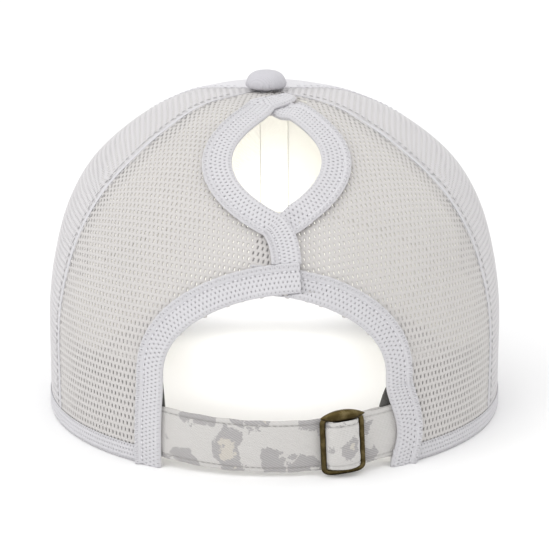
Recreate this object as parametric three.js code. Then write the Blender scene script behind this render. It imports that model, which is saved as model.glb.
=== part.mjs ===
/*
 * Trucker cap: six-panel crown, curved peak, sweatband and a cloth strap with a metal buckle.
 *
 * Millimetres, +Z up. The peak points along -Y and the wearer's left is +X. The cap rests on
 * z = 0 on its rim, and x = y = 0 is the middle of its plan box. Neighbouring pieces keep a
 * small gap, and each piece is one closed body.
 */
import * as THREE from 'three';

// Driving dimensions
const CROWN_BACK_SHIFT = 34.20;   // how far the crown's middle lies behind the origin
const CLOTH = 1.2;                // panel and strap wall
const BAND_WALL = 1.0;            // sweatband wall
const GAP = 0.3;                  // play between neighbouring pieces
const SEAM_GAP = 0.45;            // gap between two panels along a seam
const CROWN_TOP_LEAN = 3.2;       // the middle of the top leans this far to +X

// Crown sections from the rim (level 0) to the middle of the top (level 1)
const CROWN_SECTIONS = [
  { level: 0.00, height: 0.0, side: 87.0, back: 98.0, front: 100.0 },
  { level: 0.16, height: 20.0, side: 87.2, back: 98.5, front: 102.0 },
  { level: 0.32, height: 42.0, side: 87.0, back: 97.5, front: 103.0 },
  { level: 0.46, height: 60.0, side: 84.6, back: 93.5, front: 101.5 },
  { level: 0.60, height: 78.0, side: 79.6, back: 85.5, front: 96.5 },
  { level: 0.72, height: 93.0, side: 71.2, back: 74.5, front: 87.0 },
  { level: 0.82, height: 105.0, side: 58.6, back: 59.5, front: 72.0 },
  { level: 0.90, height: 114.2, side: 44.0, back: 43.0, front: 52.5 },
  { level: 0.96, height: 120.6, side: 26.5, back: 24.5, front: 30.5 },
  { level: 1.00, height: 123.0, side: 0.0, back: 0.0, front: 0.0 },
];

// The rim rises over the forehead; the angle is counted from the middle of the back
const RIM_LIFT = [
  { angle: 0, lift: 0 }, { angle: 92, lift: 0 }, { angle: 118, lift: 3.4 },
  { angle: 140, lift: 11.5 }, { angle: 160, lift: 19.5 }, { angle: 180, lift: 22.5 },
];

// Seams between the panels, as angles from the middle of the back
const REAR_SEAM = [
  { level: 0, angle: 69 }, { level: 0.3, angle: 69 }, { level: 0.5, angle: 66.5 },
  { level: 0.7, angle: 61.5 }, { level: 0.85, angle: 57.5 }, { level: 1, angle: 55 },
];
const FRONT_SEAM = [
  { level: 0, angle: 122 }, { level: 0.5, angle: 121 }, { level: 1, angle: 118 },
];

// Openings at the back: levels on the crown and half widths
const PANEL_TOP = 0.993;
const ARCH = { wide: 0.27, top: 0.514, halfWidth: 40.5, foot: 43 };
const LAP = { halfWidth: 9.5, crossing: 0.715, play: 0.6 };
const HOLE = { top: 0.955, halfWidth: 16.6, shift: -0.8 };
const TOP_LAP = 0.55;             // share of the half width that the left panel laps over
const HEM = { width: 10, raise: 0.5 };

const SWEATBAND = { level: 0.28, startX: 41.5 };
const STRAP = { width: 19.3, low: 1.7, lowX: -1, bow: 0.00105, endX: 50, tailX: -47 };
const BUCKLE = {
  x: -24.5, width: 16.8, side: 1.8, centre: 3.0, thick: 1.7, bottom: 1.5, topEnd: 2.4, topMid: 4.4,
  play: 0.3, back: -1.2,
};
const BUTTON = { radius: 7.75, dome: 5.4, skirt: 1.2, stem: 1.4, stemLength: 5 };
const PEAK = { reach: 68, wall: 2.4, spread: 62, outerMid: 17.5, outerEnd: 2.4, endReach: 7 };

const { PI, sin, cos, sqrt, asin, abs, min, max } = Math;
const rad = THREE.MathUtils.degToRad;
const { lerp, smoothstep, clamp } = THREE.MathUtils;

/** Smooth value of one table column, with slopes taken from the neighbouring rows. */
function sample(rows, key, column, at) {
  const last = rows.length - 1;
  let i = rows.findIndex((row) => row[key] > at) - 1;
  if (i < 0) i = at < rows[0][key] ? 0 : last - 1;
  const slope = (k) => {
    const a = rows[max(k - 1, 0)];
    const b = rows[min(k + 1, last)];
    return (b[column] - a[column]) / (b[key] - a[key]);
  };
  const [a, b] = [rows[i], rows[i + 1]];
  const span = b[key] - a[key];
  const t = clamp((at - a[key]) / span, 0, 1);
  const [t2, t3] = [t * t, t * t * t];
  return (2 * t3 - 3 * t2 + 1) * a[column] + (t3 - 2 * t2 + t) * span * slope(i)
    + (3 * t2 - 2 * t3) * b[column] + (t3 - t2) * span * slope(i + 1);
}

const section = (column, level) => sample(CROWN_SECTIONS, 'level', column, level);
const topLean = (level) => CROWN_TOP_LEAN * (section('height', level) / 123) ** 8;

/** Rim height over the resting plane at an angle from the middle of the back. */
function rimLift(angle) {
  const turned = abs(THREE.MathUtils.euclideanModulo(angle + PI, 2 * PI) - PI);
  return max(0, sample(RIM_LIFT, 'angle', 'lift', THREE.MathUtils.radToDeg(turned)));
}

/** Point on the crown's outer face. */
function crownPoint(angle, level) {
  const height = section('height', level);
  const reach = section(cos(angle) > 0 ? 'back' : 'front', level);
  return new THREE.Vector3(
    section('side', level) * sin(angle) + topLean(level),
    reach * cos(angle),
    height + rimLift(angle) * (1 - min(height / 123, 1)) ** 1.5,
  );
}

/** Outward direction of the crown, level at the rim so that the rim's edge is flat. */
function crownNormal(angle, level) {
  const step = 0.004;
  const low = max(level - step, 0);
  const high = min(level + step, 0.998);
  const along = crownPoint(angle + step, level).sub(crownPoint(angle - step, level));
  const up = crownPoint(angle, high).sub(crownPoint(angle, low));
  const normal = along.cross(up).normalize().negate();
  normal.z *= smoothstep(level, 0, 0.06);
  return normal.normalize();
}

/** Crown point moved outward by an offset (inward where it is negative). */
function crownOffset(angle, level, offset) {
  return crownPoint(angle, level).addScaledVector(crownNormal(angle, level), offset);
}

/** Angle at which the crown reaches a side position at one level. */
function angleAt(x, level) {
  return asin(clamp((x - topLean(level)) / section('side', level), -0.98, 0.98));
}

/** Indexed triangles as one closed body that faces outward. */
function closedBody(points, triangles) {
  let volume = 0;
  const cross = new THREE.Vector3();
  for (const [a, b, c] of triangles) {
    volume += points[a].dot(cross.crossVectors(points[b], points[c])) / 6;
  }
  const faced = volume < 0 ? triangles.map(([a, b, c]) => [a, c, b]) : triangles;
  const geometry = new THREE.BufferGeometry();
  geometry.setAttribute('position',
    new THREE.Float32BufferAttribute(points.flatMap((p) => [p.x, p.y, p.z]), 3));
  geometry.setIndex(faced.flat());
  geometry.computeVertexNormals();
  return geometry;
}

/**
 * Closed wall between two faces given on a grid.
 * face(u, v) returns [outer, inner] points for u and v from 0 to 1.
 */
function wall(columns, rows, face) {
  const points = [];
  const triangles = [];
  const index = (i, j, side) => (i * (rows + 1) + j) * 2 + side;
  const quad = (a, b, c, d) => triangles.push([a, b, c], [a, c, d]);
  for (let i = 0; i <= columns; i += 1) {
    for (let j = 0; j <= rows; j += 1) points.push(...face(i / columns, j / rows));
  }
  for (let i = 0; i < columns; i += 1) {
    for (let j = 0; j < rows; j += 1) {
      quad(index(i, j, 0), index(i + 1, j, 0), index(i + 1, j + 1, 0), index(i, j + 1, 0));
      quad(index(i, j, 1), index(i, j + 1, 1), index(i + 1, j + 1, 1), index(i + 1, j, 1));
    }
    quad(index(i, 0, 0), index(i, 0, 1), index(i + 1, 0, 1), index(i + 1, 0, 0));
    quad(index(i, rows, 1), index(i, rows, 0), index(i + 1, rows, 0), index(i + 1, rows, 1));
  }
  for (let j = 0; j < rows; j += 1) {
    quad(index(0, j, 1), index(0, j, 0), index(0, j + 1, 0), index(0, j + 1, 1));
    quad(index(columns, j, 0), index(columns, j, 1), index(columns, j + 1, 1),
      index(columns, j + 1, 0));
  }
  return closedBody(points, triangles);
}

/** Seam angle at one level, less half of the seam gap measured along the crown. */
function seamAngle(seam, level, side) {
  const angle = rad(sample(seam, 'level', 'angle', level));
  return angle + side * (SEAM_GAP / 2) / max(section('side', level), 1.5);
}

/** Middle between the two rear panels' centre edges. */
function edgeMiddle(level) {
  const hole = HOLE.shift * smoothstep(level, ARCH.top, LAP.crossing);
  return lerp(hole, topLean(level), smoothstep(level, HOLE.top - 0.02, 0.985));
}

/** How far the left rear panel's centre edge lies from the middle; the right one mirrors it. */
function centreEdge(level) {
  if (level < ARCH.wide) {
    return lerp(ARCH.foot, ARCH.halfWidth, smoothstep(level, 0, ARCH.wide));
  }
  if (level < ARCH.top) {
    const rise = (level - ARCH.wide) / (ARCH.top - ARCH.wide);
    return (ARCH.halfWidth + LAP.halfWidth) * sqrt(1 - rise ** 2) - LAP.halfWidth;
  }
  if (level < LAP.crossing) {
    const rise = (level - ARCH.top) / (LAP.crossing - ARCH.top);
    return -LAP.halfWidth * (1 - rise ** 3) ** 0.7;
  }
  if (level < HOLE.top) {
    const along = (2 * (level - LAP.crossing)) / (HOLE.top - LAP.crossing) - 1;
    return HOLE.halfWidth * (1 - along ** 2);
  }
  return -TOP_LAP * section('side', level) * smoothstep(level, HOLE.top, 0.98);
}

/** Crown points along one rear panel's centre edge. */
function edgeLine(side) {
  return Array.from({ length: 121 }, (_, i) => {
    const level = (PANEL_TOP * i) / 120;
    return crownPoint(angleAt(edgeMiddle(level) + side * centreEdge(level), level), level);
  });
}

/** Shortest distance from a point to a line of points. */
function distanceTo(line, point) {
  let best = Infinity;
  const piece = new THREE.Line3();
  const near = new THREE.Vector3();
  for (let i = 1; i < line.length; i += 1) {
    piece.set(line[i - 1], line[i]).closestPointToPoint(point, true, near);
    best = min(best, near.distanceTo(point));
  }
  return best;
}

/** Rows gathered where the centre edge turns quickly. */
function rearLevel(v) {
  const stops = [0, 0.27, 0.42, 0.498, 0.512, 0.53, 0.70, 0.73, 0.84, 0.945, 0.965, PANEL_TOP];
  const place = v * (stops.length - 1);
  const i = min(Math.floor(place), stops.length - 2);
  return lerp(stops[i], stops[i + 1], place - i);
}

/** Mesh rear panel with the hems of its arch and hole; the right one dives under the left. */
function rearPanel(side) {
  const line = edgeLine(side);
  return wall(16, 33, (u, v) => {
    const level = rearLevel(v);
    const inner = angleAt(edgeMiddle(level) + side * centreEdge(level), level);
    const outer = side * seamAngle(REAR_SEAM, level, -1);
    const angle = lerp(inner, outer, u ** 1.25);
    const point = crownPoint(angle, level);
    const clear = edgeMiddle(level) + centreEdge(level) - point.x;
    const under = side < 0 ? 1 - smoothstep(clear, 3, 11) : 0;
    const hem = (1 - smoothstep(distanceTo(line, point), HEM.width - 1.5, HEM.width + 1.5))
      * (1 - smoothstep(level, HOLE.top, 0.98));
    const base = -under * (CLOTH + LAP.play);
    return [crownOffset(angle, level, base + HEM.raise * hem * (1 - under)),
      crownOffset(angle, level, base - CLOTH)];
  });
}

/** Panel between two seams, from the rim to the button. */
function plainPanel(columns, from, to) {
  return wall(columns, 18, (u, v) => {
    const level = lerp(0, PANEL_TOP, v);
    const angle = lerp(from(level), to(level), u);
    return [crownOffset(angle, level, 0), crownOffset(angle, level, -CLOTH)];
  });
}

function sidePanel(side) {
  return plainPanel(10, (level) => side * seamAngle(REAR_SEAM, level, 1),
    (level) => side * seamAngle(FRONT_SEAM, level, -1));
}

function frontPanel(side) {
  return plainPanel(10, (level) => side * seamAngle(FRONT_SEAM, level, 1),
    (level) => side * (PI - SEAM_GAP / 2 / max(section('side', level), 1.5)));
}

/** Sweatband around the inside; its ends step in to leave room for the strap. */
function sweatband() {
  const start = angleAt(SWEATBAND.startX, 0.1);
  return wall(48, 3, (u, v) => {
    const angle = lerp(start, 2 * PI - start, u);
    const level = lerp(0, SWEATBAND.level, v);
    const nearLeft = 1 - smoothstep(angle, rad(40), rad(50));
    const nearRight = smoothstep(angle, rad(310), rad(320));
    const outer = -(CLOTH + GAP) - 2.0 * nearLeft - 3.5 * nearRight;
    return [crownOffset(angle, level, outer), crownOffset(angle, level, outer - BAND_WALL)];
  });
}

// Line that the strap follows around the back, by distance from the middle
const BACK_LINE = (() => {
  const rows = [];
  let run = 0;
  let last = null;
  for (let degrees = 0; degrees <= 45; degrees += 0.5) {
    const point = new THREE.Vector2(87.1 * sin(rad(degrees)), 98.3 * cos(rad(degrees)));
    if (last) run += point.distanceTo(last);
    rows.push({ run, angle: rad(degrees), x: point.x });
    last = point;
  }
  return rows;
})();

/** Distance along the back line to a side position. */
const runAt = (x) => Math.sign(x) * sample(BACK_LINE, 'x', 'run', abs(x));

/** Point on the back line, moved outward by a depth. */
function backPoint(run, depth) {
  const angle = Math.sign(run) * sample(BACK_LINE, 'run', 'angle', abs(run));
  const outward = new THREE.Vector2(sin(angle) / 87.1, cos(angle) / 98.3).normalize();
  return new THREE.Vector2(87.1 * sin(angle), 98.3 * cos(angle)).addScaledVector(outward, depth);
}

/** Slope of the strap's hanging curve at a side position. */
const strapSlope = (x) => 2 * STRAP.bow * (x - STRAP.lowX);

/** Point by distance along the back line, depth outward and place across the strap's width. */
function strapPoint(run, depth, across) {
  const { x } = backPoint(run, 0);
  const tilt = Math.atan(strapSlope(x));
  const place = backPoint(run - across * sin(tilt), depth);
  const middle = STRAP.low + STRAP.width / 2 + STRAP.bow * (x - STRAP.lowX) ** 2;
  return new THREE.Vector3(place.x, place.y, middle + across * cos(tilt));
}

/** Flat strap along a path of [run, depth] points, with its wall to both sides of the path. */
function ribbon(path, pieces) {
  const curve = new THREE.CatmullRomCurve3(
    path.map(({ run, depth }) => new THREE.Vector3(run, depth, 0)), false, 'centripetal');
  return wall(pieces, 1, (u, v) => {
    const place = curve.getPoint(u);
    const along = curve.getTangent(u);
    return [1, -1].map((face) => strapPoint(place.x - (face * along.y * CLOTH) / 2,
      place.y + (face * along.x * CLOTH) / 2, (v - 0.5) * STRAP.width));
  });
}

/** Path points near the buckle, from offsets along the strap and depths. */
function pathNear(middle, steps) {
  return steps.map(([along, depth]) => ({ run: middle + along, depth }));
}

/** Strap sewn in at the left: under the buckle's sides and over its middle bar. */
function longStrap() {
  const climb = [[10, -2.2], [8, -2.2], [6.2, -2.1], [4.9, -1.2], [4.3, 0.4], [3.4, 2.2]];
  const fall = climb.map(([along, depth]) => [-along, depth]).reverse();
  return ribbon([
    { run: runAt(STRAP.endX), depth: -2.35 }, { run: runAt(42), depth: -2.35 },
    { run: runAt(25), depth: -2.1 }, { run: 0, depth: -2.1 },
    ...pathNear(runAt(BUCKLE.x), [...climb, [0, 3.1], ...fall]),
    { run: runAt(-40), depth: -2.35 }, { run: runAt(STRAP.tailX), depth: -2.35 },
  ], 72);
}

/** Strap sewn in at the right, with its end folded around the buckle's middle bar. */
function shortStrap() {
  return ribbon([
    { run: runAt(-STRAP.endX), depth: -3.9 }, { run: runAt(-40), depth: -3.9 },
    ...pathNear(runAt(BUCKLE.x), [[-6, -3.85], [-1, -3.6], [1.6, -2.7], [2.5, -1.2], [2.5, 0.4],
      [2.2, 1.2], [1.4, 1.5], [0, 1.5], [-1.4, 1.5], [-2.2, 1.2], [-2.5, 0.3], [-2.5, -0.6]]),
  ], 65);
}

/** Outline of the buckle: straight sides, a lens-shaped top bar and a bowed bottom bar. */
function buckleOutline() {
  const half = BUCKLE.width / 2;
  const windowTop = STRAP.width / 2 + BUCKLE.play;
  const top = windowTop + BUCKLE.topEnd;
  const bottom = -windowTop - BUCKLE.bottom;
  const rise = BUCKLE.topMid - BUCKLE.topEnd;
  const outline = new THREE.Shape();
  outline.moveTo(-half, bottom + 1.2);
  outline.quadraticCurveTo(-half, bottom, -half + 1.2, bottom);
  outline.lineTo(half - 1.2, bottom);
  outline.quadraticCurveTo(half, bottom, half, bottom + 1.2);
  outline.lineTo(half, top - 1.2);
  outline.quadraticCurveTo(half, top, half - 1.2, top);
  outline.quadraticCurveTo(0, top + 2 * rise, -half + 1.2, top);
  outline.quadraticCurveTo(-half, top, -half, top - 1.2);
  for (const side of [-1, 1]) {
    const slot = new THREE.Path();
    const near = side * (BUCKLE.centre / 2);
    const far = side * (half - BUCKLE.side);
    const corner = 0.35;
    slot.moveTo(near, -windowTop + corner);
    slot.lineTo(near + side * corner, -windowTop);
    slot.lineTo(far - side * corner, -windowTop);
    slot.lineTo(far, -windowTop + corner);
    slot.lineTo(far, windowTop - corner);
    slot.lineTo(far - side * corner, windowTop);
    slot.lineTo(near + side * corner, windowTop);
    slot.lineTo(near, windowTop - corner);
    outline.holes.push(slot);
  }
  return outline;
}

/** Flat metal buckle, tangent to the strap and tilted along its slope. */
function buckle() {
  const geometry = new THREE.ExtrudeGeometry(buckleOutline(),
    { depth: BUCKLE.thick, bevelEnabled: false, curveSegments: 8 });
  const run = runAt(BUCKLE.x);
  const middle = strapPoint(run, BUCKLE.back, 0);
  const along = strapPoint(run - 0.5, BUCKLE.back, 0)
    .sub(strapPoint(run + 0.5, BUCKLE.back, 0)).normalize();
  const outward = new THREE.Vector3().crossVectors(along, new THREE.Vector3(0, 0, 1)).normalize();
  const up = new THREE.Vector3().crossVectors(outward, along);
  geometry.applyMatrix4(new THREE.Matrix4().makeBasis(along, up, outward));
  geometry.translate(middle.x, middle.y, middle.z);
  return geometry;
}

/** Cloth-covered button with its stem through the middle of the top. */
function button() {
  const { radius, dome, skirt, stem, stemLength } = BUTTON;
  const slope = (123 - 120.6) / 26.5;
  const rest = (r) => GAP + 0.15 - slope * r;
  const profile = [new THREE.Vector2(0, -stemLength), new THREE.Vector2(stem, -stemLength),
    new THREE.Vector2(stem, rest(stem)), new THREE.Vector2(radius - 0.8, rest(radius - 0.8)),
    new THREE.Vector2(radius - 0.2, rest(radius) + 0.2), new THREE.Vector2(radius, skirt * 0.7)];
  for (let i = 0; i <= 6; i += 1) {
    const turn = (i / 6) * (PI / 2);
    profile.push(new THREE.Vector2(i < 6 ? (radius - 0.3) * cos(turn) : 0,
      skirt + (dome - 0.4) * sin(turn)));
  }
  const geometry = new THREE.LatheGeometry(profile, 24);
  geometry.rotateX(PI / 2);
  geometry.translate(CROWN_TOP_LEAN, 0, 123);
  return geometry;
}

/** Point on the peak's top: across from -1 to 1, out from the crown (0) to the edge (1). */
function peakTop(across, out) {
  const angle = PI - across * rad(PEAK.spread);
  const seat = crownOffset(angle, 0, -CLOTH);
  const reach = PEAK.endReach + (PEAK.reach - PEAK.endReach) * sqrt(1 - abs(across) ** 3);
  const edge = new THREE.Vector3(seat.x * (1.04 + 0.05 * (1 - across ** 2)), seat.y - reach,
    lerp(PEAK.outerMid, PEAK.outerEnd, abs(across) ** 2));
  const point = seat.clone().lerp(edge, out);
  point.z -= (GAP + 0.1) * (1 - out);
  point.z += 2.2 * sin(PI * out) * (1 - across ** 2);
  return point;
}

/** Peak: a curved board that carries the rim's forehead curve to its rounded front edge. */
function peak() {
  const step = 0.01;
  return wall(26, 8, (u, v) => {
    const across = 2 * u - 1;
    const top = peakTop(across, v);
    const a = clamp(across, -1 + step, 1 - step);
    const b = clamp(v, step, 1 - step);
    const normal = peakTop(a + step, b).sub(peakTop(a - step, b))
      .cross(peakTop(a, b + step).sub(peakTop(a, b - step))).normalize();
    if (normal.z < 0) normal.negate();
    return [top, top.clone().addScaledVector(normal, -PEAK.wall)];
  });
}

const FINISHES = {
  mesh: { color: 0xd9d6de, roughness: 0.75, metalness: 0 },
  cloth: { color: 0xc9c1bb, roughness: 0.9, metalness: 0 },
  lining: { color: 0xe9e3d8, roughness: 0.9, metalness: 0 },
  brass: { color: 0x7d6544, roughness: 0.4, metalness: 1 },
};

const PIECES = [
  { name: 'rear_panel_left', finish: 'mesh', make: () => rearPanel(1) },
  { name: 'rear_panel_right', finish: 'mesh', make: () => rearPanel(-1) },
  { name: 'side_panel_left', finish: 'mesh', make: () => sidePanel(1) },
  { name: 'side_panel_right', finish: 'mesh', make: () => sidePanel(-1) },
  { name: 'front_panel_left', finish: 'cloth', make: () => frontPanel(1) },
  { name: 'front_panel_right', finish: 'cloth', make: () => frontPanel(-1) },
  { name: 'sweatband', finish: 'lining', make: sweatband },
  { name: 'strap_long', finish: 'cloth', make: longStrap },
  { name: 'strap_short', finish: 'cloth', make: shortStrap },
  { name: 'buckle', finish: 'brass', make: buckle },
  { name: 'button', finish: 'cloth', make: button },
  { name: 'peak', finish: 'cloth', make: peak },
];

const cap = new THREE.Group();
cap.name = 'trucker_cap';
for (const { name, finish, make } of PIECES) {
  const mesh = new THREE.Mesh(make(), new THREE.MeshStandardMaterial(FINISHES[finish]));
  mesh.name = name;
  mesh.position.y = CROWN_BACK_SHIFT;
  cap.add(mesh);
}

export default cap;
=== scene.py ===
"""Trucker cap: net panels, cloth front, curved peak, camo strap and brass buckle.

The cap's shapes are worked out in millimetres around the middle of its crown and laid in
metres: +Z is up, the peak points along -Y and the wearer's left is +X.
"""

import logging
import math
from dataclasses import dataclass
from enum import Enum
from typing import Callable, Iterable, Optional, Sequence

import bmesh
import bpy
import numpy as np
from bmesh.types import BMesh, BMFace, BMVert
from mathutils import Matrix, Vector

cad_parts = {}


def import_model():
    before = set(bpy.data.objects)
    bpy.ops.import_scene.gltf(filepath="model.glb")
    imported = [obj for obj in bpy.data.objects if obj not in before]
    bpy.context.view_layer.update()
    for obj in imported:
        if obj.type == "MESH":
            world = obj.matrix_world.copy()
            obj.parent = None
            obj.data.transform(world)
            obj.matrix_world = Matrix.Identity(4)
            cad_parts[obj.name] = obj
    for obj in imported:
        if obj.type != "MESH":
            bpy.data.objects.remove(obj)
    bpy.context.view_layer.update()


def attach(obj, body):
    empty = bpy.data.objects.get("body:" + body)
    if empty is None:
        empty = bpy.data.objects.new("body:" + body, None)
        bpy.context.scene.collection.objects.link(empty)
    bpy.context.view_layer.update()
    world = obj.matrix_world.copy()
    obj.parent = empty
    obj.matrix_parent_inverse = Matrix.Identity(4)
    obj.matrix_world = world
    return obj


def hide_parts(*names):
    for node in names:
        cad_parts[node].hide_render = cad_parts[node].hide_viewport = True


log = logging.getLogger("trucker_cap")

Array = np.ndarray
Pair = tuple[Array, Array]   # mostly the angles and the levels of points on the crown
Colour = tuple[float, float, float, float]
Point3 = tuple[float, float, float]
Place = Callable[[Array], Array]
Socket = bpy.types.NodeSocket
CROWN_BACK_SHIFT = 34.2   # the crown's middle lies this far behind the origin, mm
UV_SPAN = 100.0           # one unit of a cloth UV map, mm
METRES = 0.001            # metres in a millimetre


def unit(vectors: Array) -> Array:
    """Vectors brought to length 1."""
    return vectors / np.linalg.norm(vectors, axis=-1, keepdims=True)


def run_along(points: Array) -> Array:
    """Distance along a line at each of its points."""
    return np.concatenate([[0], np.cumsum(np.linalg.norm(np.diff(points, axis=0), axis=1))])


def follow(distance: Array, run: Array, points: Array) -> Array:
    """Points at distances along a line whose points lie at the distances in run."""
    return np.stack([np.interp(distance, run, column) for column in points.T], axis=-1)


def smoothstep(x: Array, low: float, high: float) -> Array:
    """Smooth rise from 0 at low to 1 at high."""
    t = np.clip((np.asarray(x, float) - low) / (high - low), 0.0, 1.0)
    return t * t * (3.0 - 2.0 * t)


@dataclass(frozen=True)
class Curve:
    """Smooth curve through a short table with two columns."""
    at: tuple[float, ...]
    value: tuple[float, ...]

    def __call__(self, x: Array) -> Array:
        """Value of the curve at x."""
        at, value = np.array(self.at), np.array(self.value)
        last = len(at) - 1
        low = np.maximum(np.arange(last + 1) - 1, 0)
        high = np.minimum(np.arange(last + 1) + 1, last)
        slope = (value[high] - value[low]) / (at[high] - at[low])
        x = np.asarray(x, float)
        i = np.clip(np.searchsorted(at, x, side="right") - 1, 0, last - 1)
        span = at[i + 1] - at[i]
        t = np.clip((x - at[i]) / span, 0.0, 1.0)
        t2, t3 = t * t, t * t * t
        return ((2 * t3 - 3 * t2 + 1) * value[i] + (t3 - 2 * t2 + t) * span * slope[i]
                + (3 * t2 - 2 * t3) * value[i + 1] + (t3 - t2) * span * slope[i + 1])


LEVELS = (0.0, 0.16, 0.32, 0.46, 0.60, 0.72, 0.82, 0.90, 0.96, 1.0)


@dataclass(frozen=True)
class CrownForm:
    """Outer face of the crown: sections by level, from the rim (0) to the top (1).

    Sizes are in mm and seams in degrees. The values panel_top, arch_wide, arch_top, crossing,
    hole_top, lap_start, lap_end and bulge_top are levels; top_lap is a share of the side.
    """
    height: Curve = Curve(LEVELS, (0, 20, 42, 60, 78, 93, 105, 114.2, 120.6, 123))
    side: Curve = Curve(LEVELS, (87, 87.2, 87, 84.6, 79.6, 71.2, 58.6, 44, 26.5, 0))
    back: Curve = Curve(LEVELS, (98, 98.5, 97.5, 93.5, 85.5, 74.5, 59.5, 43, 24.5, 0))
    front: Curve = Curve(LEVELS, (100, 102, 103, 101.5, 96.5, 87, 72, 52.5, 30.5, 0))
    rim_lift: Curve = Curve((0, 92, 118, 140, 160, 180), (0, 0, 3.4, 11.5, 19.5, 22.5))
    rear_seam: Curve = Curve((0, 0.3, 0.5, 0.7, 0.85, 1), (69, 69, 66.5, 61.5, 57.5, 55))
    front_seam: Curve = Curve((0, 0.5, 1), (122, 121, 118))
    top_lean: float = 3.2
    top: float = 123.0
    panel_top: float = 0.993
    arch_wide: float = 0.27
    arch_top: float = 0.514
    arch_half: float = 40.5
    arch_foot: float = 43.0
    lap_half: float = 9.5
    crossing: float = 0.715
    lap_drop: float = 1.8
    hole_top: float = 0.955
    hole_half: float = 16.6
    hole_shift: float = -0.8
    top_lap: float = 0.66
    lap_start: float = 0.586
    lap_end: float = 0.984
    left_tuck: float = 1.5
    right_bulge: float = 2.8
    bulge_top: float = 0.24

    def lean(self, level: Array) -> Array:
        """How far the crown leans to +X at a level."""
        return self.top_lean * (self.height(level) / self.top) ** 8

    def point(self, angle: Array, level: Array) -> Array:
        """Point on the outer face; the angle is counted from the middle of the back."""
        angle, level = np.broadcast_arrays(np.asarray(angle, float), np.asarray(level, float))
        height = self.height(level)
        reach = np.where(np.cos(angle) > 0, self.back(level), self.front(level))
        turned = np.abs(np.mod(angle + np.pi, 2 * np.pi) - np.pi)
        lift = np.maximum(self.rim_lift(np.degrees(turned)), 0)
        lift = lift * (1 - np.minimum(height / self.top, 1)) ** 1.5
        return np.stack([self.side(level) * np.sin(angle) + self.lean(level),
                         reach * np.cos(angle), height + lift], axis=-1)

    def slopes(self, angle: Array, level: Array) -> Pair:
        """Change of the point with the angle and with the level."""
        step = 0.004
        low = np.maximum(np.asarray(level, float) - step, 0)
        high = np.minimum(np.asarray(level, float) + step, 0.998)
        turn = (self.point(angle + step, level) - self.point(angle - step, level)) / (2 * step)
        rise = (self.point(angle, high) - self.point(angle, low)) / (high - low)[..., None]
        return turn, rise

    def normal(self, angle: Array, level: Array) -> Array:
        """Outward direction, level at the rim so that the rim's edge is flat."""
        turn, rise = self.slopes(angle, level)
        normal = unit(-np.cross(turn, rise))
        normal[..., 2] *= smoothstep(level, 0, 0.06)
        return unit(normal)

    def offset(self, angle: Array, level: Array, depth: Array) -> Array:
        """Point moved outward by a depth, or inward where it is negative."""
        depth = np.asarray(depth, float)[..., None]
        return self.point(angle, level) + self.normal(angle, level) * depth

    def angle_at(self, x: Array, level: Array) -> Array:
        """Angle at which the crown reaches a side position at a level."""
        reach = np.maximum(self.side(level), 1e-3)
        return np.arcsin(np.clip((x - self.lean(level)) / reach, -0.98, 0.98))

    def edge_middle(self, level: Array) -> Array:
        """Middle between the two rear panels' centre edges."""
        hole = self.hole_shift * smoothstep(level, self.arch_top, self.crossing)
        near_top = smoothstep(level, self.hole_top - 0.02, 0.985)
        return hole + (self.lean(level) - hole) * near_top

    def centre_edge(self, level: Array) -> Array:
        """How far a rear panel's centre edge lies from the middle."""
        level = np.asarray(level, float)
        foot = self.arch_foot + (self.arch_half - self.arch_foot) * smoothstep(
            level, 0, self.arch_wide)
        rise = np.clip((level - self.arch_wide) / (self.arch_top - self.arch_wide), 0, 1)
        arch = (self.arch_half + self.lap_half) * np.sqrt(1 - rise ** 2) - self.lap_half
        rise = np.clip((level - self.arch_top) / (self.crossing - self.arch_top), 0, 1)
        lap = -self.lap_half * (1 - rise ** 3) ** 0.7
        along = 2 * (level - self.crossing) / (self.hole_top - self.crossing) - 1
        hole = self.hole_half * (1 - along ** 2)
        top = -self.top_lap * self.side(level) * smoothstep(level, self.hole_top, 0.98)
        return np.select([level < self.arch_wide, level < self.arch_top,
                          level < self.crossing, level < self.hole_top],
                         [foot, arch, lap, hole], top)

    def panel_edge(self, side: "Side", level: Array) -> Array:
        """Centre edge of one rear panel: the left foot is straight, the right one bulges."""
        level = np.asarray(level, float)
        if side is Side.LEFT:
            tuck = self.left_tuck * (1 - smoothstep(level, 0, 0.2))
            return self.centre_edge(level) - tuck
        bulge = np.sin(np.pi * np.clip(level / self.bulge_top, 0, 1)) ** 1.5
        tuck = 0.5 * (1 - smoothstep(level, 0, 0.1))
        return self.centre_edge(level) + self.right_bulge * bulge - tuck

    def turn_of(self, gap: float, level: Array) -> Array:
        """Angle that a gap in mm takes up at a level."""
        return gap / np.maximum(self.side(level), 1.5)

    def walk(self, angle: Array, level: Array, heading: Array,
             distance: Array, steps: int = 8) -> Pair:
        """Angle and level reached by going a distance over the crown.

        Args:
            angle: angles to start from.
            level: levels to start from.
            heading: direction of each walk in space.
            distance: length of each walk in mm.
            steps: number of straight steps in a walk.

        Returns:
            The angles and levels at the ends.
        """
        for _ in range(steps):
            turn, rise = self.slopes(angle, level)
            tt, rr, tr = ((turn * turn).sum(-1), (rise * rise).sum(-1), (turn * rise).sum(-1))
            ht, hr = (heading * turn).sum(-1), (heading * rise).sum(-1)
            det = tt * rr - tr * tr
            da, dl = (ht * rr - hr * tr) / det, (hr * tt - ht * tr) / det
            size = np.linalg.norm(turn * da[..., None] + rise * dl[..., None], axis=-1)
            angle = angle + da / size * distance / steps
            level = np.clip(level + dl / size * distance / steps, 0.0, 0.99)
        return angle, level


CROWN = CrownForm()


class Side(Enum):
    """Which half of the cap a piece belongs to."""
    LEFT = 1
    RIGHT = -1

    @property
    def word(self) -> str:
        """The half's name in a piece's name."""
        return self.name.lower()


# Pieces

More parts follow.
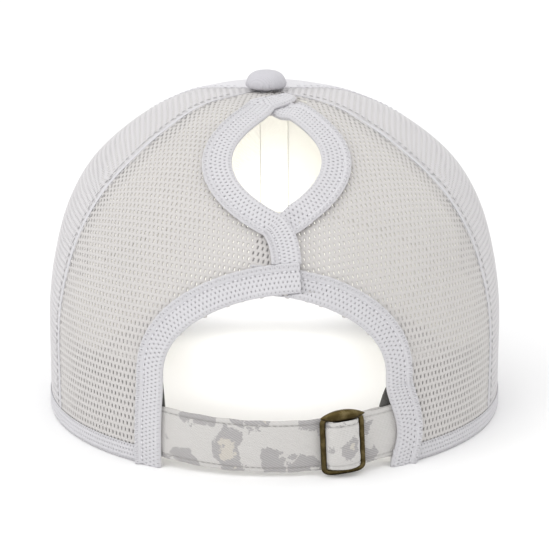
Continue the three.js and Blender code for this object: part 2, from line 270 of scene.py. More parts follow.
def add_object(name: str, data: bpy.types.ID) -> bpy.types.Object:
    """New object in the scene's own collection."""
    added = bpy.data.objects.new(name, data)
    bpy.context.scene.collection.objects.link(added)
    return added


def keep_piece(name: str, bm: BMesh, place: Place, materials: Sequence,
               nodes: Iterable[str] = (),
               uv: Optional[Place] = None) -> bpy.types.Object:
    """Turn a flat bmesh into a finished piece of the cap.

    Args:
        name: the piece's name.
        bm: mesh in flat coordinates, mm; it is freed.
        place: moves flat points to their place around the crown's middle, mm.
        materials: the piece's materials.
        nodes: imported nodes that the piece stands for.
        uv: flat points to cloth coordinates in mm; the flat ones where it is left out.

    Returns:
        The piece's object.
    """
    mesh = bpy.data.meshes.new(name)
    bm.to_mesh(mesh)
    bm.free()
    flat = np.empty(len(mesh.vertices) * 3)
    mesh.vertices.foreach_get("co", flat)
    flat = flat.reshape(-1, 3)
    cloth = (uv(flat) if uv else flat)[:, :2] / UV_SPAN
    corners = np.empty(len(mesh.loops), dtype=np.int32)
    mesh.loops.foreach_get("vertex_index", corners)
    layer = mesh.uv_layers.new(name="cloth")
    layer.data.foreach_set("uv", cloth[corners].astype(np.float32).ravel())
    points = (place(flat) + np.array([0, CROWN_BACK_SHIFT, 0])) * METRES
    mesh.vertices.foreach_set("co", points.astype(np.float32).ravel())
    mesh.polygons.foreach_set("use_smooth", [True] * len(mesh.polygons))
    face_outward(mesh, points)
    mesh.update()
    for material in materials:
        mesh.materials.append(material)
    piece = add_object(name, mesh)
    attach(piece, "root")
    if nodes:
        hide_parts(*nodes)
    log.info("%s: %d faces", name, len(mesh.polygons))
    return piece


def face_outward(mesh: bpy.types.Mesh, points: Array) -> None:
    """Turn a closed mesh's faces round where laying it has turned it inside out."""
    mesh.calc_loop_triangles()
    corners = np.empty(len(mesh.loop_triangles) * 3, dtype=np.int32)
    mesh.loop_triangles.foreach_get("vertices", corners)
    a, b, c = (points[corners.reshape(-1, 3)[:, k]] - points.mean(axis=0) for k in range(3))
    if (a * np.cross(b, c)).sum() < 0:
        mesh.flip_normals()


def line_inside(piece: bpy.types.Object, height: float) -> None:
    """Give the second material to the faces turned to the middle at a height in metres."""
    middle = Vector((0, CROWN_BACK_SHIFT * METRES, height))
    for face in piece.data.polygons:
        if face.normal.dot(face.center - middle) < 0:
            face.material_index = 1


def weld_twin(bm: BMesh) -> None:
    """Add the mirror image below a sheet and weld the two where they meet at height 0."""
    geometry = bm.verts[:] + bm.edges[:] + bm.faces[:]
    twin = bmesh.ops.duplicate(bm, geom=geometry)["geom"]
    verts = [part for part in twin if isinstance(part, BMVert)]
    faces = [part for part in twin if isinstance(part, BMFace)]
    bmesh.ops.scale(bm, vec=(1, 1, -1), verts=verts)
    bmesh.ops.reverse_faces(bm, faces=faces)
    bmesh.ops.remove_doubles(bm, verts=bm.verts[:], dist=1e-3)


@dataclass(frozen=True)
class ClothSheet:
    """Flat cloth with a thickness and a rounded edge; width along x, height along y."""
    width: float
    height: float
    columns: int
    rows: int
    half: float = 0.6
    edge: float = 0.5

    def cut(self) -> BMesh:
        """Sheet from 0 to width and 0 to height, both faces, closed along its edge."""
        bm = bmesh.new()
        bmesh.ops.create_grid(bm, x_segments=self.columns, y_segments=self.rows, size=0.5,
                              matrix=Matrix.Translation((0.5, 0.5, 0)))
        for vert in bm.verts:
            vert.co.x = self._spread(vert.co.x, self.columns, self.width)
            vert.co.y = self._spread(vert.co.y, self.rows, self.height)
            inside = min(vert.co.x, self.width - vert.co.x, vert.co.y,
                         self.height - vert.co.y)
            vert.co.z = self.half if inside > 1e-4 else 0.0
        weld_twin(bm)
        return bm

    def _spread(self, share: float, parts: int, size: float) -> float:
        """Place of a grid line, with a narrow part at both ends for the rounded edge."""
        stops = [0, 1 / parts, 1 - 1 / parts, 1]
        return float(np.interp(share, stops, [0, self.edge, size - self.edge, size]))


@dataclass(frozen=True)
class NetWeave:
    """Knitted net with six-sided holes in rows that are offset by half a hole."""
    pitch: float = 1.95
    row: float = 2.55
    strand: float = 0.84
    half: float = 0.3
    zigzag: float = 0.2

    def knit(self, width: float, height: float,
             inside: Optional[Callable[[Array], Array]] = None) -> BMesh:
        """Flat net centred on x = 0 and rising from y = 0.

        Args:
            width: size along the rows, mm.
            height: size across the rows, mm.
            inside: tells for each hole's middle whether it is kept.

        Returns:
            The closed net as a bmesh.
        """
        columns = 2 * math.ceil(width / self.pitch)
        rows = max(1, math.ceil(height / self.row))
        span = (columns * self.pitch / 2, rows * self.row)
        bm = bmesh.new()
        bmesh.ops.create_grid(bm, x_segments=columns, y_segments=rows, size=0.5)
        bmesh.ops.scale(bm, vec=(span[0], span[1], 1), verts=bm.verts[:])
        bmesh.ops.translate(bm, vec=(0, span[1] / 2, 0), verts=bm.verts[:])
        spot = {vert: (round((vert.co.x + span[0] / 2) / (self.pitch / 2)),
                       round(vert.co.y / self.row)) for vert in bm.verts}
        joins = [edge for edge in bm.edges if not edge.is_boundary
                 and spot[edge.verts[0]][0] == spot[edge.verts[1]][0]
                 and (spot[edge.verts[0]][0] + min(spot[v][1] for v in edge.verts)) % 2]
        for vert, (i, j) in spot.items():
            vert.co.y += self.zigzag if (i + j) % 2 == 0 else -self.zigzag
        bmesh.ops.dissolve_edges(bm, edges=joins, use_verts=False)
        if inside is not None:
            middles = np.array([face.calc_center_median()[:2] for face in bm.faces])
            kept = inside(middles)
            outside = [face for face, keep in zip(bm.faces, kept) if not keep]
            bmesh.ops.delete(bm, geom=outside, context="FACES")
        cells = bm.faces[:]
        heights = {vert: 0.0 if vert.is_boundary else self.half for vert in bm.verts}
        for height_share in (0.78, 0.0):
            bmesh.ops.inset_individual(bm, faces=cells, thickness=self.strand / 2,
                                       use_even_offset=True)
            heights.update({vert: self.half * height_share
                            for face in cells for vert in face.verts})
        for vert, height in heights.items():
            vert.co.z = height
        bmesh.ops.delete(bm, geom=cells, context="FACES_ONLY")
        weld_twin(bm)
        return bm


@dataclass(frozen=True)
class Gore:
    """Flat cloth laid on the crown along a line that rises from the rim."""
    middle: Curve
    turn: float = 1.0
    droop: float = 0.0
    spread: float = 0.62

    def _table(self) -> tuple[Array, Array, Array, Array]:
        """Levels, arc lengths, mm per radian and droop along the middle line."""
        level = np.linspace(0, 0.998, 500)
        angle = self.line(level)
        arc = run_along(CROWN.point(angle, level))
        turn, rise = CROWN.slopes(angle, level)
        speed = np.maximum(np.linalg.norm(turn, axis=-1), 1.0)
        flat = np.linalg.norm(rise[:, :2], axis=-1) / np.maximum(np.abs(rise[:, 2]), 1e-6)
        fall = self.droop * np.minimum(flat, 1.6) / (2 * speed)
        return level, arc, speed, fall

    def line(self, level: Array) -> Array:
        """Angle of the middle line at a level."""
        return self.turn * np.radians(self.middle(level))

    @property
    def length(self) -> float:
        """Length of the middle line from the rim to the top, mm."""
        return float(self._table()[1][-1])

    def spot(self, across: Array, up: Array) -> Pair:
        """Angle and level of a flat point."""
        level, arc, speed, fall = self._table()
        reach = np.minimum(np.abs(across), 1.1 * self.spread * np.interp(up, arc, speed))
        up = up - np.interp(up, arc, fall) * reach ** 2
        at = np.interp(up, arc, level)
        return self.line(at) + across / np.interp(at, level, speed), at


@dataclass(frozen=True)
class EdgeLine:
    """Line over the crown, given by angles and levels, with its inward direction."""
    angle: Array
    level: Array
    inward: float

    @property
    def run(self) -> Array:
        """Arc length at each of the line's points."""
        return run_along(CROWN.point(self.angle, self.level))

    @property
    def length(self) -> float:
        """Whole length of the line, mm."""
        return float(self.run[-1])

    def at(self, along: Array) -> Pair:
        """Angle and level at a distance along the line."""
        run = self.run
        return np.interp(along, run, self.angle), np.interp(along, run, self.level)

    def heading(self, along: Array) -> Array:
        """Direction over the crown, square to the line, into the cloth."""
        reach = 1.6
        ahead = CROWN.point(*self.at(along + reach)) - CROWN.point(*self.at(along - reach))
        return np.cross(CROWN.normal(*self.at(along)), unit(ahead)) * self.inward

    def beside(self, along: Array, inset: Array) -> Pair:
        """Angle and level at a distance along the line and a distance into the cloth."""
        angle, level = self.at(along)
        return CROWN.walk(angle, level, self.heading(along), inset)


def rear_edge(side: Side, part: str) -> EdgeLine:
    """Centre edge of a rear panel.

    Args:
        side: the panel's half of the cap.
        part: "arch" for the big opening, "hole" for the lap and the ponytail hole.

    Returns:
        The edge, from its low end to its high end.
    """
    if part == "arch":
        foot = np.linspace(0, CROWN.arch_wide, 40)[:-1]
        bend = np.linspace(0, np.pi / 2, 90)
        level = np.concatenate([foot, CROWN.arch_wide
                                + (CROWN.arch_top - CROWN.arch_wide) * np.sin(bend)])
        arch = (CROWN.arch_half + CROWN.lap_half) * np.cos(bend) - CROWN.lap_half
        edge = np.concatenate([CROWN.panel_edge(side, foot), arch])
    else:
        level = np.linspace(CROWN.lap_start, CROWN.lap_end, 260)
        edge = CROWN.centre_edge(level)
    angle = CROWN.angle_at(CROWN.edge_middle(level) + side.value * edge, level)
    return EdgeLine(angle, level, side.value)


def lap_dive(side: Side, angle: Array, level: Array) -> Array:
    """How far the right rear panel lies below the left one where they lap."""
    if side is Side.LEFT:
        return np.zeros_like(level)
    x = CROWN.point(angle, level)[..., 0]
    clear = CROWN.edge_middle(level) + CROWN.centre_edge(level) - x
    room = (np.radians(CROWN.rear_seam(level)) - np.abs(angle)) * CROWN.side(level)
    near, far, seam_room = 3.0, 11.0, 4.5
    under = 1 - smoothstep(clear, near, far)
    return CROWN.lap_drop * under * smoothstep(room, 0, seam_room)


@dataclass(frozen=True)
class StitchRow:
    """Row of sewn stitches along a line."""
    pitch: float = 2.9
    length: float = 2.1
    radius: float = 0.24

    def sew(self, bm: BMesh, points: Array, normals: Array) -> None:
        """Add the stitches along a line of points with their outward directions."""
        run = run_along(points)
        count = max(1, int(run[-1] / self.pitch))
        reach = np.array([-self.length / 2, 0, self.length / 2])
        for middle in (np.arange(count) + 0.5) * run[-1] / count:
            spots = follow(middle + reach, run, points)
            up = Vector(follow(middle, run, normals))
            ahead = Vector(spots[2] - spots[0]).normalized()
            across = up.cross(ahead).normalized()
            up = ahead.cross(across)
            turn = Matrix((ahead, across, up)).transposed().to_4x4()
            size = Matrix.Diagonal((self.length / 2, self.radius, self.radius * 0.8, 1))
            bmesh.ops.create_icosphere(bm, subdivisions=1, radius=1.0,
                                       matrix=Matrix.Translation(spots[1]) @ turn @ size)


def as_laid(flat: Array) -> Array:
    """Place for meshes that are already worked out around the crown's middle."""
    return flat


# Finishes

class Finish:
    """Base of the cap's procedural finishes: a material's nodes, added one by one."""

    def __init__(self, name: str, roughness: float, sheen: float = 0.0,
                 specular: float = 0.5, metallic: float = 0.0) -> None:
        """Start a material with a Principled shader."""
        self.material = bpy.data.materials.new(name)
        self.material.use_nodes = True
        self.tree = self.material.node_tree
        self.tree.nodes.clear()
        self.shader = self.node("ShaderNodeBsdfPrincipled", {
            "Roughness": roughness, "Sheen Weight": sheen, "Specular IOR Level": specular,
            "Metallic": metallic})
        out = self.node("ShaderNodeOutputMaterial")
        self.tree.links.new(self.shader.outputs["BSDF"], out.inputs["Surface"])

    def node(self, kind: str, inputs: Optional[dict] = None, **settings) -> bpy.types.Node:
        """Add a node.

        Args:
            kind: Blender's name of the node type.
            inputs: values or output sockets by input name or number.
            settings: the node's own properties.

        Returns:
            The node.
        """
        node = self.tree.nodes.new(kind)
        for key, value in settings.items():
            setattr(node, key, value)
        for key, value in (inputs or {}).items():
            if isinstance(value, Socket):
                self.tree.links.new(value, node.inputs[key])
            else:
                node.inputs[key].default_value = value
        return node

    def math(self, operation: str, *values, clamp: bool = False) -> Socket:
        """Result of one Math node."""
        node = self.node("ShaderNodeMath", dict(enumerate(values)), operation=operation,
                         use_clamp=clamp)
        return node.outputs[0]

    def vector(self, operation: str, *values) -> Socket:
        """Result of one Vector Math node."""
        node = self.node("ShaderNodeVectorMath", dict(enumerate(values)), operation=operation)
        return node.outputs["Value" if operation == "DOT_PRODUCT" else "Vector"]

    def ramp(self, value, low: float, high: float) -> Socket:
        """A value's place between two others, from 0 to 1."""
        node = self.node("ShaderNodeMapRange", {"Value": value, "From Min": low,
                                                "From Max": high})
        return node.outputs[0]

    def mix(self, share, first, second) -> Socket:
        """Blend of two colours."""
        node = self.node("ShaderNodeMix", {0: share, 6: first, 7: second}, data_type="RGBA")
        return node.outputs[2]

    def cloth_mm(self) -> Socket:
        """The piece's own cloth coordinates in mm."""
        uv = self.node("ShaderNodeUVMap", uv_map="cloth").outputs["UV"]
        return self.vector("MULTIPLY", uv, (UV_SPAN, UV_SPAN, UV_SPAN))

    def object_mm(self) -> Socket:
        """Object coordinates in mm."""
        place = self.node("ShaderNodeTexCoord").outputs["Object"]
        return self.vector("MULTIPLY", place, (1000, 1000, 1000))

    def noise(self, vector, scale: float, detail: float = 2.0, roughness: float = 0.5,
              output: str = "Fac") -> Socket:
        """Output of one Noise Texture node."""
        node = self.node("ShaderNodeTexNoise", {"Vector": vector, "Scale": scale,
                                                "Detail": detail, "Roughness": roughness})
        return node.outputs[output]

    def bump(self, height, distance: float, strength: float = 1.0) -> None:
        """Drive the shader's normal by a height, with its full depth in metres."""
        node = self.node("ShaderNodeBump", {"Height": height, "Distance": distance,
                                            "Strength": strength})
        self.tree.links.new(node.outputs[0], self.shader.inputs["Normal"])

    def colour(self, socket) -> None:
        """Link the shader's base colour."""
        self.tree.links.new(socket, self.shader.inputs["Base Color"])

    def twill(self, vector, pitch: float, slant: float) -> Socket:
        """Height of a twill's diagonal ribs, from 0 to 1."""
        turn = (math.cos(math.radians(slant)), math.sin(math.radians(slant)), 0.0)
        across = self.vector("DOT_PRODUCT", vector, turn)
        wave = self.math("SINE", self.math("MULTIPLY", across, 2 * math.pi / pitch))
        return self.math("MULTIPLY_ADD", wave, 0.5, 0.5)


def tinted(shade: Sequence[float], share: float = 1.0) -> tuple[float, ...]:
    """A share of a colour, with its alpha."""
    return tuple(part * share for part in shade) + (1,)


class NetThread(Finish):
    """Pale lilac-white knitted polyester thread."""

    def __init__(self, name: str, tint: Point3 = (1.0, 1.0, 1.0)) -> None:
        """Build the finish; the tint multiplies its colours."""
        super().__init__(name, 0.72, sheen=0.25, specular=0.3)
        mm = self.object_mm()
        soft = self.noise(mm, 0.05, 2)
        fibre = self.noise(mm, 3.2, 3, 0.7)
        light, dark, deep = (tinted(np.multiply(shade, tint)) for shade in (
            (0.665, 0.655, 0.678), (0.62, 0.611, 0.633), (0.50, 0.49, 0.512)))
        base = self.mix(soft, dark, light)
        shade = self.mix(self.math("MULTIPLY", fibre, 0.2), base, deep)
        self.colour(shade)
        self.bump(fibre, 0.0003, 0.6)


@dataclass(frozen=True)
class CamoLook:
    """Colours and sizes of the blotched twill."""
    ground: Colour = (0.62, 0.605, 0.585, 1)
    blotch: Colour = (0.37, 0.355, 0.355, 1)
    beige: Colour = (0.57, 0.535, 0.475, 1)
    spacing: float = 15.5
    edge: float = 60.0
    core: float = 0.42
    rib: float = 0.78
    seams: tuple[float, ...] = ()


class CamoTwill(Finish):
    """Off-white twill with jagged grey-lilac blotches, some with a beige middle."""

    def __init__(self, name: str, look: CamoLook = CamoLook()) -> None:
        """Build the finish."""
        super().__init__(name, 0.88, sheen=0.15, specular=0.25)
        mm = self.cloth_mm()
        wide = self.noise(mm, 0.09, 2, 0.5, "Color")
        fine = self.noise(mm, 0.42, 3, 0.75, "Color")
        shift = mm
        for cloud, reach in ((wide, 22.0), (fine, 7.0)):
            shift = self.vector("MULTIPLY_ADD", cloud, (reach, reach, 0), shift)
        cells = self.node("ShaderNodeTexVoronoi", {"Vector": shift, "Scale": 1 / look.spacing,
                                                   "Randomness": 0.85},
                          voronoi_dimensions="2D", feature="F1")
        lot = self.node("ShaderNodeSeparateColor", {0: cells.outputs["Color"]})
        size = self.math("MULTIPLY_ADD", lot.outputs[0], 0.28, 0.17)
        inside = self.math("SUBTRACT", size, cells.outputs["Distance"])
        blotch = self.math("MULTIPLY", inside, look.edge, clamp=True)
        core = self.math("SUBTRACT", self.math("MULTIPLY", size, look.core),
                         cells.outputs["Distance"])
        core = self.math("MULTIPLY", core, look.edge, clamp=True)
        core = self.math("MULTIPLY", core, self.math("GREATER_THAN", lot.outputs[1], 0.42))
        colour = self.mix(blotch, look.ground, look.blotch)
        colour = self.mix(core, colour, look.beige)
        rib = self.twill(mm, look.rib, 62)
        thread = self.noise(mm, 2.6, 2)
        shown = self.math("MULTIPLY_ADD", blotch, 0.16, 0.06)
        colour = self.mix(self.math("MULTIPLY", rib, shown), colour, (0.86, 0.85, 0.84, 1))
        colour = self.mix(self.math("MULTIPLY", thread, 0.16), colour, (0.2, 0.19, 0.2, 1))
        # Dark lines along the sewn seams: painted shade in the grooves there.
        for seam in look.seams:
            colour = self.mix(self._seam(mm, seam), colour, (0.16, 0.155, 0.15, 1))
        self.colour(colour)
        self.bump(self.math("ADD", rib, thread), 0.0002, 0.5)

    def _seam(self, mm: Socket, place: float) -> Socket:
        """Share of the painted shade in the pucker beside a sewn line at a place across the
        cloth.
        """
        across = self.node("ShaderNodeSeparateXYZ", {0: mm}).outputs["Y"]
        away = self.math("ABSOLUTE", self.math("SUBTRACT", across, place))
        patchy = self.math("MULTIPLY_ADD", self.noise(mm, 0.5, 2), 0.7, -0.02)
        near = self.math("MULTIPLY_ADD", away, -1 / 0.55, 1.0, clamp=True)
        return self.math("MULTIPLY", near, patchy, clamp=True)


class PlainTwill(Finish):
    """Plain twill in one shade, with fine diagonal ribs and soft mottling."""

    def __init__(self, name: str, shade: Point3,
                 rib: float = 0.8) -> None:
        """Build the finish in a shade."""
        super().__init__(name, 0.9, sheen=0.15, specular=0.2)
        mm = self.cloth_mm()
        soft = self.noise(mm, 0.07, 3)
        thread = self.noise(mm, 2.4, 2)
        ribs = self.twill(mm, rib, 62)
        dark = tinted(shade, 0.86)
        colour = self.mix(soft, tinted(shade), tinted(shade, 0.94))
        colour = self.mix(self.math("MULTIPLY", ribs, 0.35), colour, dark)
        colour = self.mix(self.math("MULTIPLY", thread, 0.25), colour, dark)
        self.colour(colour)
        self.bump(self.math("ADD", ribs, thread), 0.0002, 0.5)


class AntiqueBrass(Finish):
    """Dark antique brass: lighter in random clouds, for rubbed wear and painted highlights,
    and lighter on faces turned up, a painted highlight.
    """

    def __init__(self) -> None:
        """Build the finish."""
        super().__init__("antique_brass", 0.34, metallic=1.0)
        mm = self.object_mm()
        cloud = self.noise(mm, 0.35, 4, 0.6)
        grain = self.noise(mm, 2.2, 3, 0.6)
        # Random clouds of lighter brass: rubbed wear and painted highlights standing in for
        # reflections.
        rubbed_wear_and_highlight = self.ramp(cloud, 0.42, 0.68)
        # Faces turned up get the lighter colour: a painted highlight from the light above.
        turned = self.node("ShaderNodeSeparateXYZ", {
            0: self.node("ShaderNodeTexCoord").outputs["Normal"]}).outputs["Z"]
        painted_top_highlight = self.ramp(turned, -0.5, 0.9)
        dark = self.mix(rubbed_wear_and_highlight, (0.032, 0.023, 0.009, 1), (0.07, 0.052, 0.022, 1))
        light = self.mix(rubbed_wear_and_highlight, (0.10, 0.074, 0.028, 1), (0.24, 0.19, 0.09, 1))
        self.colour(self.mix(painted_top_highlight, dark, light))
        rough = self.math("MULTIPLY_ADD", grain, 0.22, 0.24)
        self.tree.links.new(rough, self.shader.inputs["Roughness"])
        self.bump(grain, 0.0001, 0.2)


class SewingThread(Finish):
    """Twisted sewing thread."""

    def __init__(self, name: str, shade: Point3) -> None:
        """Build the finish in a shade."""
        super().__init__(name, 0.6)
        mm = self.object_mm()
        twist = self.noise(mm, 5.0, 2)
        self.colour(self.mix(twist, tinted(shade), tinted(shade, 0.8)))
        self.bump(twist, 0.0001, 0.5)


class StudioFloor(Finish):
    """Plain white matt floor."""

    def __init__(self) -> None:
        """Build the finish."""
        super().__init__("studio_floor", 0.95, specular=0.1)
        soft = self.noise(self.object_mm(), 0.004, 2)
        self.colour(self.mix(soft, (0.93, 0.93, 0.93, 1), (0.95, 0.95, 0.95, 1)))


class Wardrobe:
    """All finishes of the cap, made once."""

    def __init__(self) -> None:
        """Make the materials."""
        self.net = NetThread("net_thread").material
        # Shaded copies of the same net thread: the side one a little darker and warmer,
        # painted shade; the rear one darker and warmer, painted shade and warm bounced light.
        self.side_net_shaded = NetThread("net_thread_side_shaded", (0.985, 0.975, 0.955)).material
        self.rear_net_shaded = NetThread("net_thread_rear_shaded", (0.945, 0.925, 0.87)).material
        self.camo = CamoTwill("camo_twill").material
        self.strap = CamoTwill("strap_twill", CamoLook(seams=(1.8, 17.5))).material
        # Lighter copy of the camo twill for the sweatband: painted light making up for the
        # shade inside the crown.
        self.band = CamoTwill("band_twill_lit", CamoLook((0.80, 0.79, 0.78, 1),
                                                     (0.58, 0.57, 0.58, 1))).material
        self.front = PlainTwill("front_twill", (0.74, 0.73, 0.755)).material
        self.lining = PlainTwill("front_lining", (0.88, 0.86, 0.79)).material
        self.button = PlainTwill("button_cloth", (0.60, 0.59, 0.625), 0.6).material
        # Near-black cloth for the sheets of painted shade at the sweatband's ends.
        self.charcoal = PlainTwill("charcoal_shade_sheet", (0.12, 0.118, 0.11)).material
        self.brass = AntiqueBrass().material
        self.white_thread = SewingThread("white_thread", (0.84, 0.83, 0.86)).material
        self.shade_thread = SewingThread("shade_thread", (0.56, 0.55, 0.56)).material
        self.grey_thread = SewingThread("grey_thread", (0.36, 0.35, 0.335)).material
        self.floor = StudioFloor().material


# Crown

@dataclass
class NetPanel:
    """One of the four net panels of the crown."""
    side: Side
    rear: bool
    wardrobe: Wardrobe
    crest: float = -0.3
    seam_gap: float = 0.3
    past_seam: float = 0.35
    edge_gap: float = 0.9
    rim_gap: float = 0.8
    top_level: float = 0.9935
    spare: float = 14.0

    def _limits(self, level: Array) -> Pair:
        """Seam angles on both sides of the panel, in radians, without their sign."""
        gap = CROWN.turn_of(self.seam_gap, level)
        rear = np.radians(CROWN.rear_seam(level))
        if self.rear:
            return np.full_like(level, -1.0), rear - gap
        return rear + gap, np.radians(CROWN.front_seam(level)) - gap

    def _gore(self) -> Gore:
        """Flat layout of the panel's cloth."""
        levels = np.linspace(0, 1, 9)
        low = np.zeros(9) if self.rear else CROWN.rear_seam(levels)
        high = CROWN.rear_seam(levels) if self.rear else CROWN.front_seam(levels)
        return Gore(Curve(tuple(levels), tuple((low + high) / 2)), self.side.value, 0.65,
                    0.6 if self.rear else 0.47)

    def build(self) -> bpy.types.Object:
        """Knit the panel's net and lay it on the crown."""
        gore, sign = self._gore(), self.side.value
        weave = NetWeave() if self.rear else NetWeave(row=2.4, strand=0.88, half=0.12)

        def inside(middles: Array) -> Array:
            """Holes that lie on the panel."""
            angle, level = gore.spot(middles[:, 0], middles[:, 1])
            low, high = self._limits(level)
            past = CROWN.turn_of(self.past_seam * weave.pitch, level)
            turned = angle * sign
            kept = (turned > low - past) & (turned < high + past)
            kept &= (level < self.top_level) & (middles[:, 1] > self.rim_gap)
            if self.rear:
                x = CROWN.point(angle, level)[:, 0]
                clear = (sign * (x - CROWN.edge_middle(level))
                         - CROWN.panel_edge(self.side, level))
                kept &= clear > self.edge_gap
            return kept

        def place(flat: Array) -> Array:
            """Flat net points on the crown."""
            angle, level = gore.spot(flat[:, 0], flat[:, 1])
            low, high = self._limits(level)
            angle = sign * np.clip(angle * sign, low, high)
            dive = lap_dive(self.side, angle, level) if self.rear else 0.0
            return CROWN.offset(angle, level, self.crest - weave.half + flat[:, 2] - dive)

        kind = "rear" if self.rear else "side"
        # Side and rear nets wear shaded copies of one thread: painted shade, and warm bounced
        # light on the rear.
        thread = self.wardrobe.rear_net_shaded if self.rear else self.wardrobe.side_net_shaded
        width = 136 if self.rear else 100
        bm = weave.knit(width, gore.length + self.spare, inside)
        return keep_piece(f"{kind}_net_{self.side.word}", bm, place, [thread],
                          [f"{kind}_panel_{self.side.word}"])


@dataclass
class FoldedHem:
    """Net folded around an edge: a layer outside, the fold, and a layer inside.

    The layers reach outer and inner mm into the cloth, at the depths high and low. The free
    edge rises by curl, between curl_start and curl_end mm from it. The fold lies rest mm in
    from the edge, and the roll ends spare mm early.
    """
    name: str
    edge: EdgeLine
    side: Side
    wardrobe: Wardrobe
    outer: float = 10.0
    inner: float = 6.5
    high: float = 0.35
    low: float = -1.55
    curl: float = 1.2
    curl_start: float = 3.2
    curl_end: float = 1.5
    rest: float = 0.0
    laps: bool = True
    weave: NetWeave = NetWeave(1.5, 1.7, 0.70, 0.30, 0.1)
    spare: float = 0.0

    def _lift(self, along: Array) -> Array:
        """Rise of the free edge, which lies flat over a spare bit at the high end."""
        end = self.edge.length - self.spare
        flat = smoothstep(along, end - 8, end - 1) if self.spare else np.zeros_like(along)
        return self.curl * (1 - flat)

    def _profile(self, cross: Array, thick: Array,
                 lift: Array) -> Pair:
        """Distance into the cloth and depth, from the place across the sheet."""
        radius = (self.high - self.low) / 2
        turn = np.clip(cross / radius, -np.pi / 2, np.pi / 2)
        straight = np.maximum(np.abs(cross) - radius * np.pi / 2, 0)
        inset = radius * (1 - np.cos(turn)) + straight - thick * np.cos(turn)
        depth = (self.high + self.low) / 2 + (radius + thick) * np.sin(turn)
        lifted = smoothstep(straight, self.outer - self.curl_start, self.outer - self.curl_end)
        return inset + self.rest, depth + lift * lifted * (cross > 0)

    def _spot(self, along: Array, inset: Array) -> tuple[Array, Array, Array]:
        """Angle, level and depth under the lap, from places along and into the cloth."""
        angle, level = self.edge.beside(along, inset)
        dive = lap_dive(self.side, angle, level) if self.laps else np.zeros_like(level)
        return angle, level, dive

    def build(self) -> bpy.types.Object:
        """Knit the hem and fold it around its edge."""
        length = self.edge.length

        def place(flat: Array) -> Array:
            """Flat hem points around the edge."""
            along = np.clip(flat[:, 0] + length / 2, 0, length)
            inset, depth = self._profile(flat[:, 1] - self.inner, flat[:, 2],
                                         self._lift(along))
            angle, level, dive = self._spot(along, inset)
            return CROWN.offset(angle, level, depth - dive)

        bm = self.weave.knit(length, self.outer + self.inner)
        return keep_piece(self.name, bm, place, [self.wardrobe.net])

    def build_roll(self, width: float = 1.5) -> bpy.types.Object:
        """Rolled border on the outside layer's free edge, without the spare bit."""
        length = self.edge.length - self.spare
        sheet = ClothSheet(length, width, int(length / 1.1), 6, 0.5, 0.3)

        def place(flat: Array) -> Array:
            """Flat points along the border, bent over its width."""
            across = 2 * flat[:, 1] / width - 1
            bulge = 0.25 * np.sin(flat[:, 0] * 2.1) * np.sin(flat[:, 0] * 0.37)
            inset = self.outer - 0.2 + across * width / 2 + 0.4 * bulge
            height = flat[:, 2] * np.sqrt(np.clip(1 - across ** 2, 0, 1))
            angle, level, dive = self._spot(flat[:, 0], inset)
            depth = self.high + self._lift(flat[:, 0]) * 0.55 + height + 0.3 * bulge
            return CROWN.offset(angle, level, depth - dive)

        return keep_piece(f"{self.name}_roll", sheet.cut(), place, [self.wardrobe.net])

    def stitch_line(self, inset: float = 7.6, lift: float = 0.3) -> Pair:
        """Points and outward directions of a stitch row on the outside layer."""
        along = np.linspace(1, self.edge.length - 1, 90)
        angle, level, dive = self._spot(along, np.full_like(along, inset))
        return (CROWN.offset(angle, level, self.high + lift - dive),
                CROWN.normal(angle, level))


@dataclass
class SeamLine:
    """Sewn seam from the rim to the button: a rounded ridge, inside tape and stitches."""
    name: str
    middle: Curve
    turn: float
    wardrobe: Wardrobe
    ridge: float = 1.8
    ridge_depth: float = -0.36
    tape: float = 12.0
    tape_half: float = 0.3
    tape_depth: float = -1.6
    stitch_gap: float = 2.4
    stitch_lift: float = -0.04
    stitch_stop: float = 13.0
    taper: float = 45.0

    @property
    def _gore(self) -> Gore:
        """Flat layout along the seam."""
        return Gore(self.middle, self.turn)

    def _lay(self, half_width: float, depth: float) -> Place:
        """Place for a narrow sheet that follows the seam."""
        gore = self._gore

        def place(flat: Array) -> Array:
            """Flat points along the seam."""
            narrow = 1 - 0.8 * smoothstep(flat[:, 1], gore.length - self.taper, gore.length)
            angle, level = gore.spot((flat[:, 0] - half_width) * narrow, flat[:, 1])
            return CROWN.offset(angle, np.minimum(level, 0.985), depth + flat[:, 2])
        return place

    def build(self) -> None:
        """Make the ridge outside and the tape inside."""
        length = self._gore.length
        ridge = ClothSheet(self.ridge, length, 6, 90, 0.22, 0.25)
        keep_piece(f"{self.name}_ridge", ridge.cut(),
                   self._lay(self.ridge / 2, self.ridge_depth), [self.wardrobe.net])
        tape = ClothSheet(self.tape, length, 6, 60, self.tape_half, 0.5)
        keep_piece(f"{self.name}_tape", tape.cut(), self._lay(self.tape / 2, self.tape_depth),
                   [self.wardrobe.lining])

    def sew(self, bm: BMesh) -> None:
        """Add the two stitch rows beside the ridge."""
        gore = self._gore
        up = np.linspace(1.5, gore.length - self.stitch_stop, 120)
        for side in (-1, 1):
            angle, level = gore.spot(np.full_like(up, side * self.stitch_gap), up)
            StitchRow().sew(bm, CROWN.offset(angle, level, self.stitch_lift),
                            CROWN.normal(angle, level))


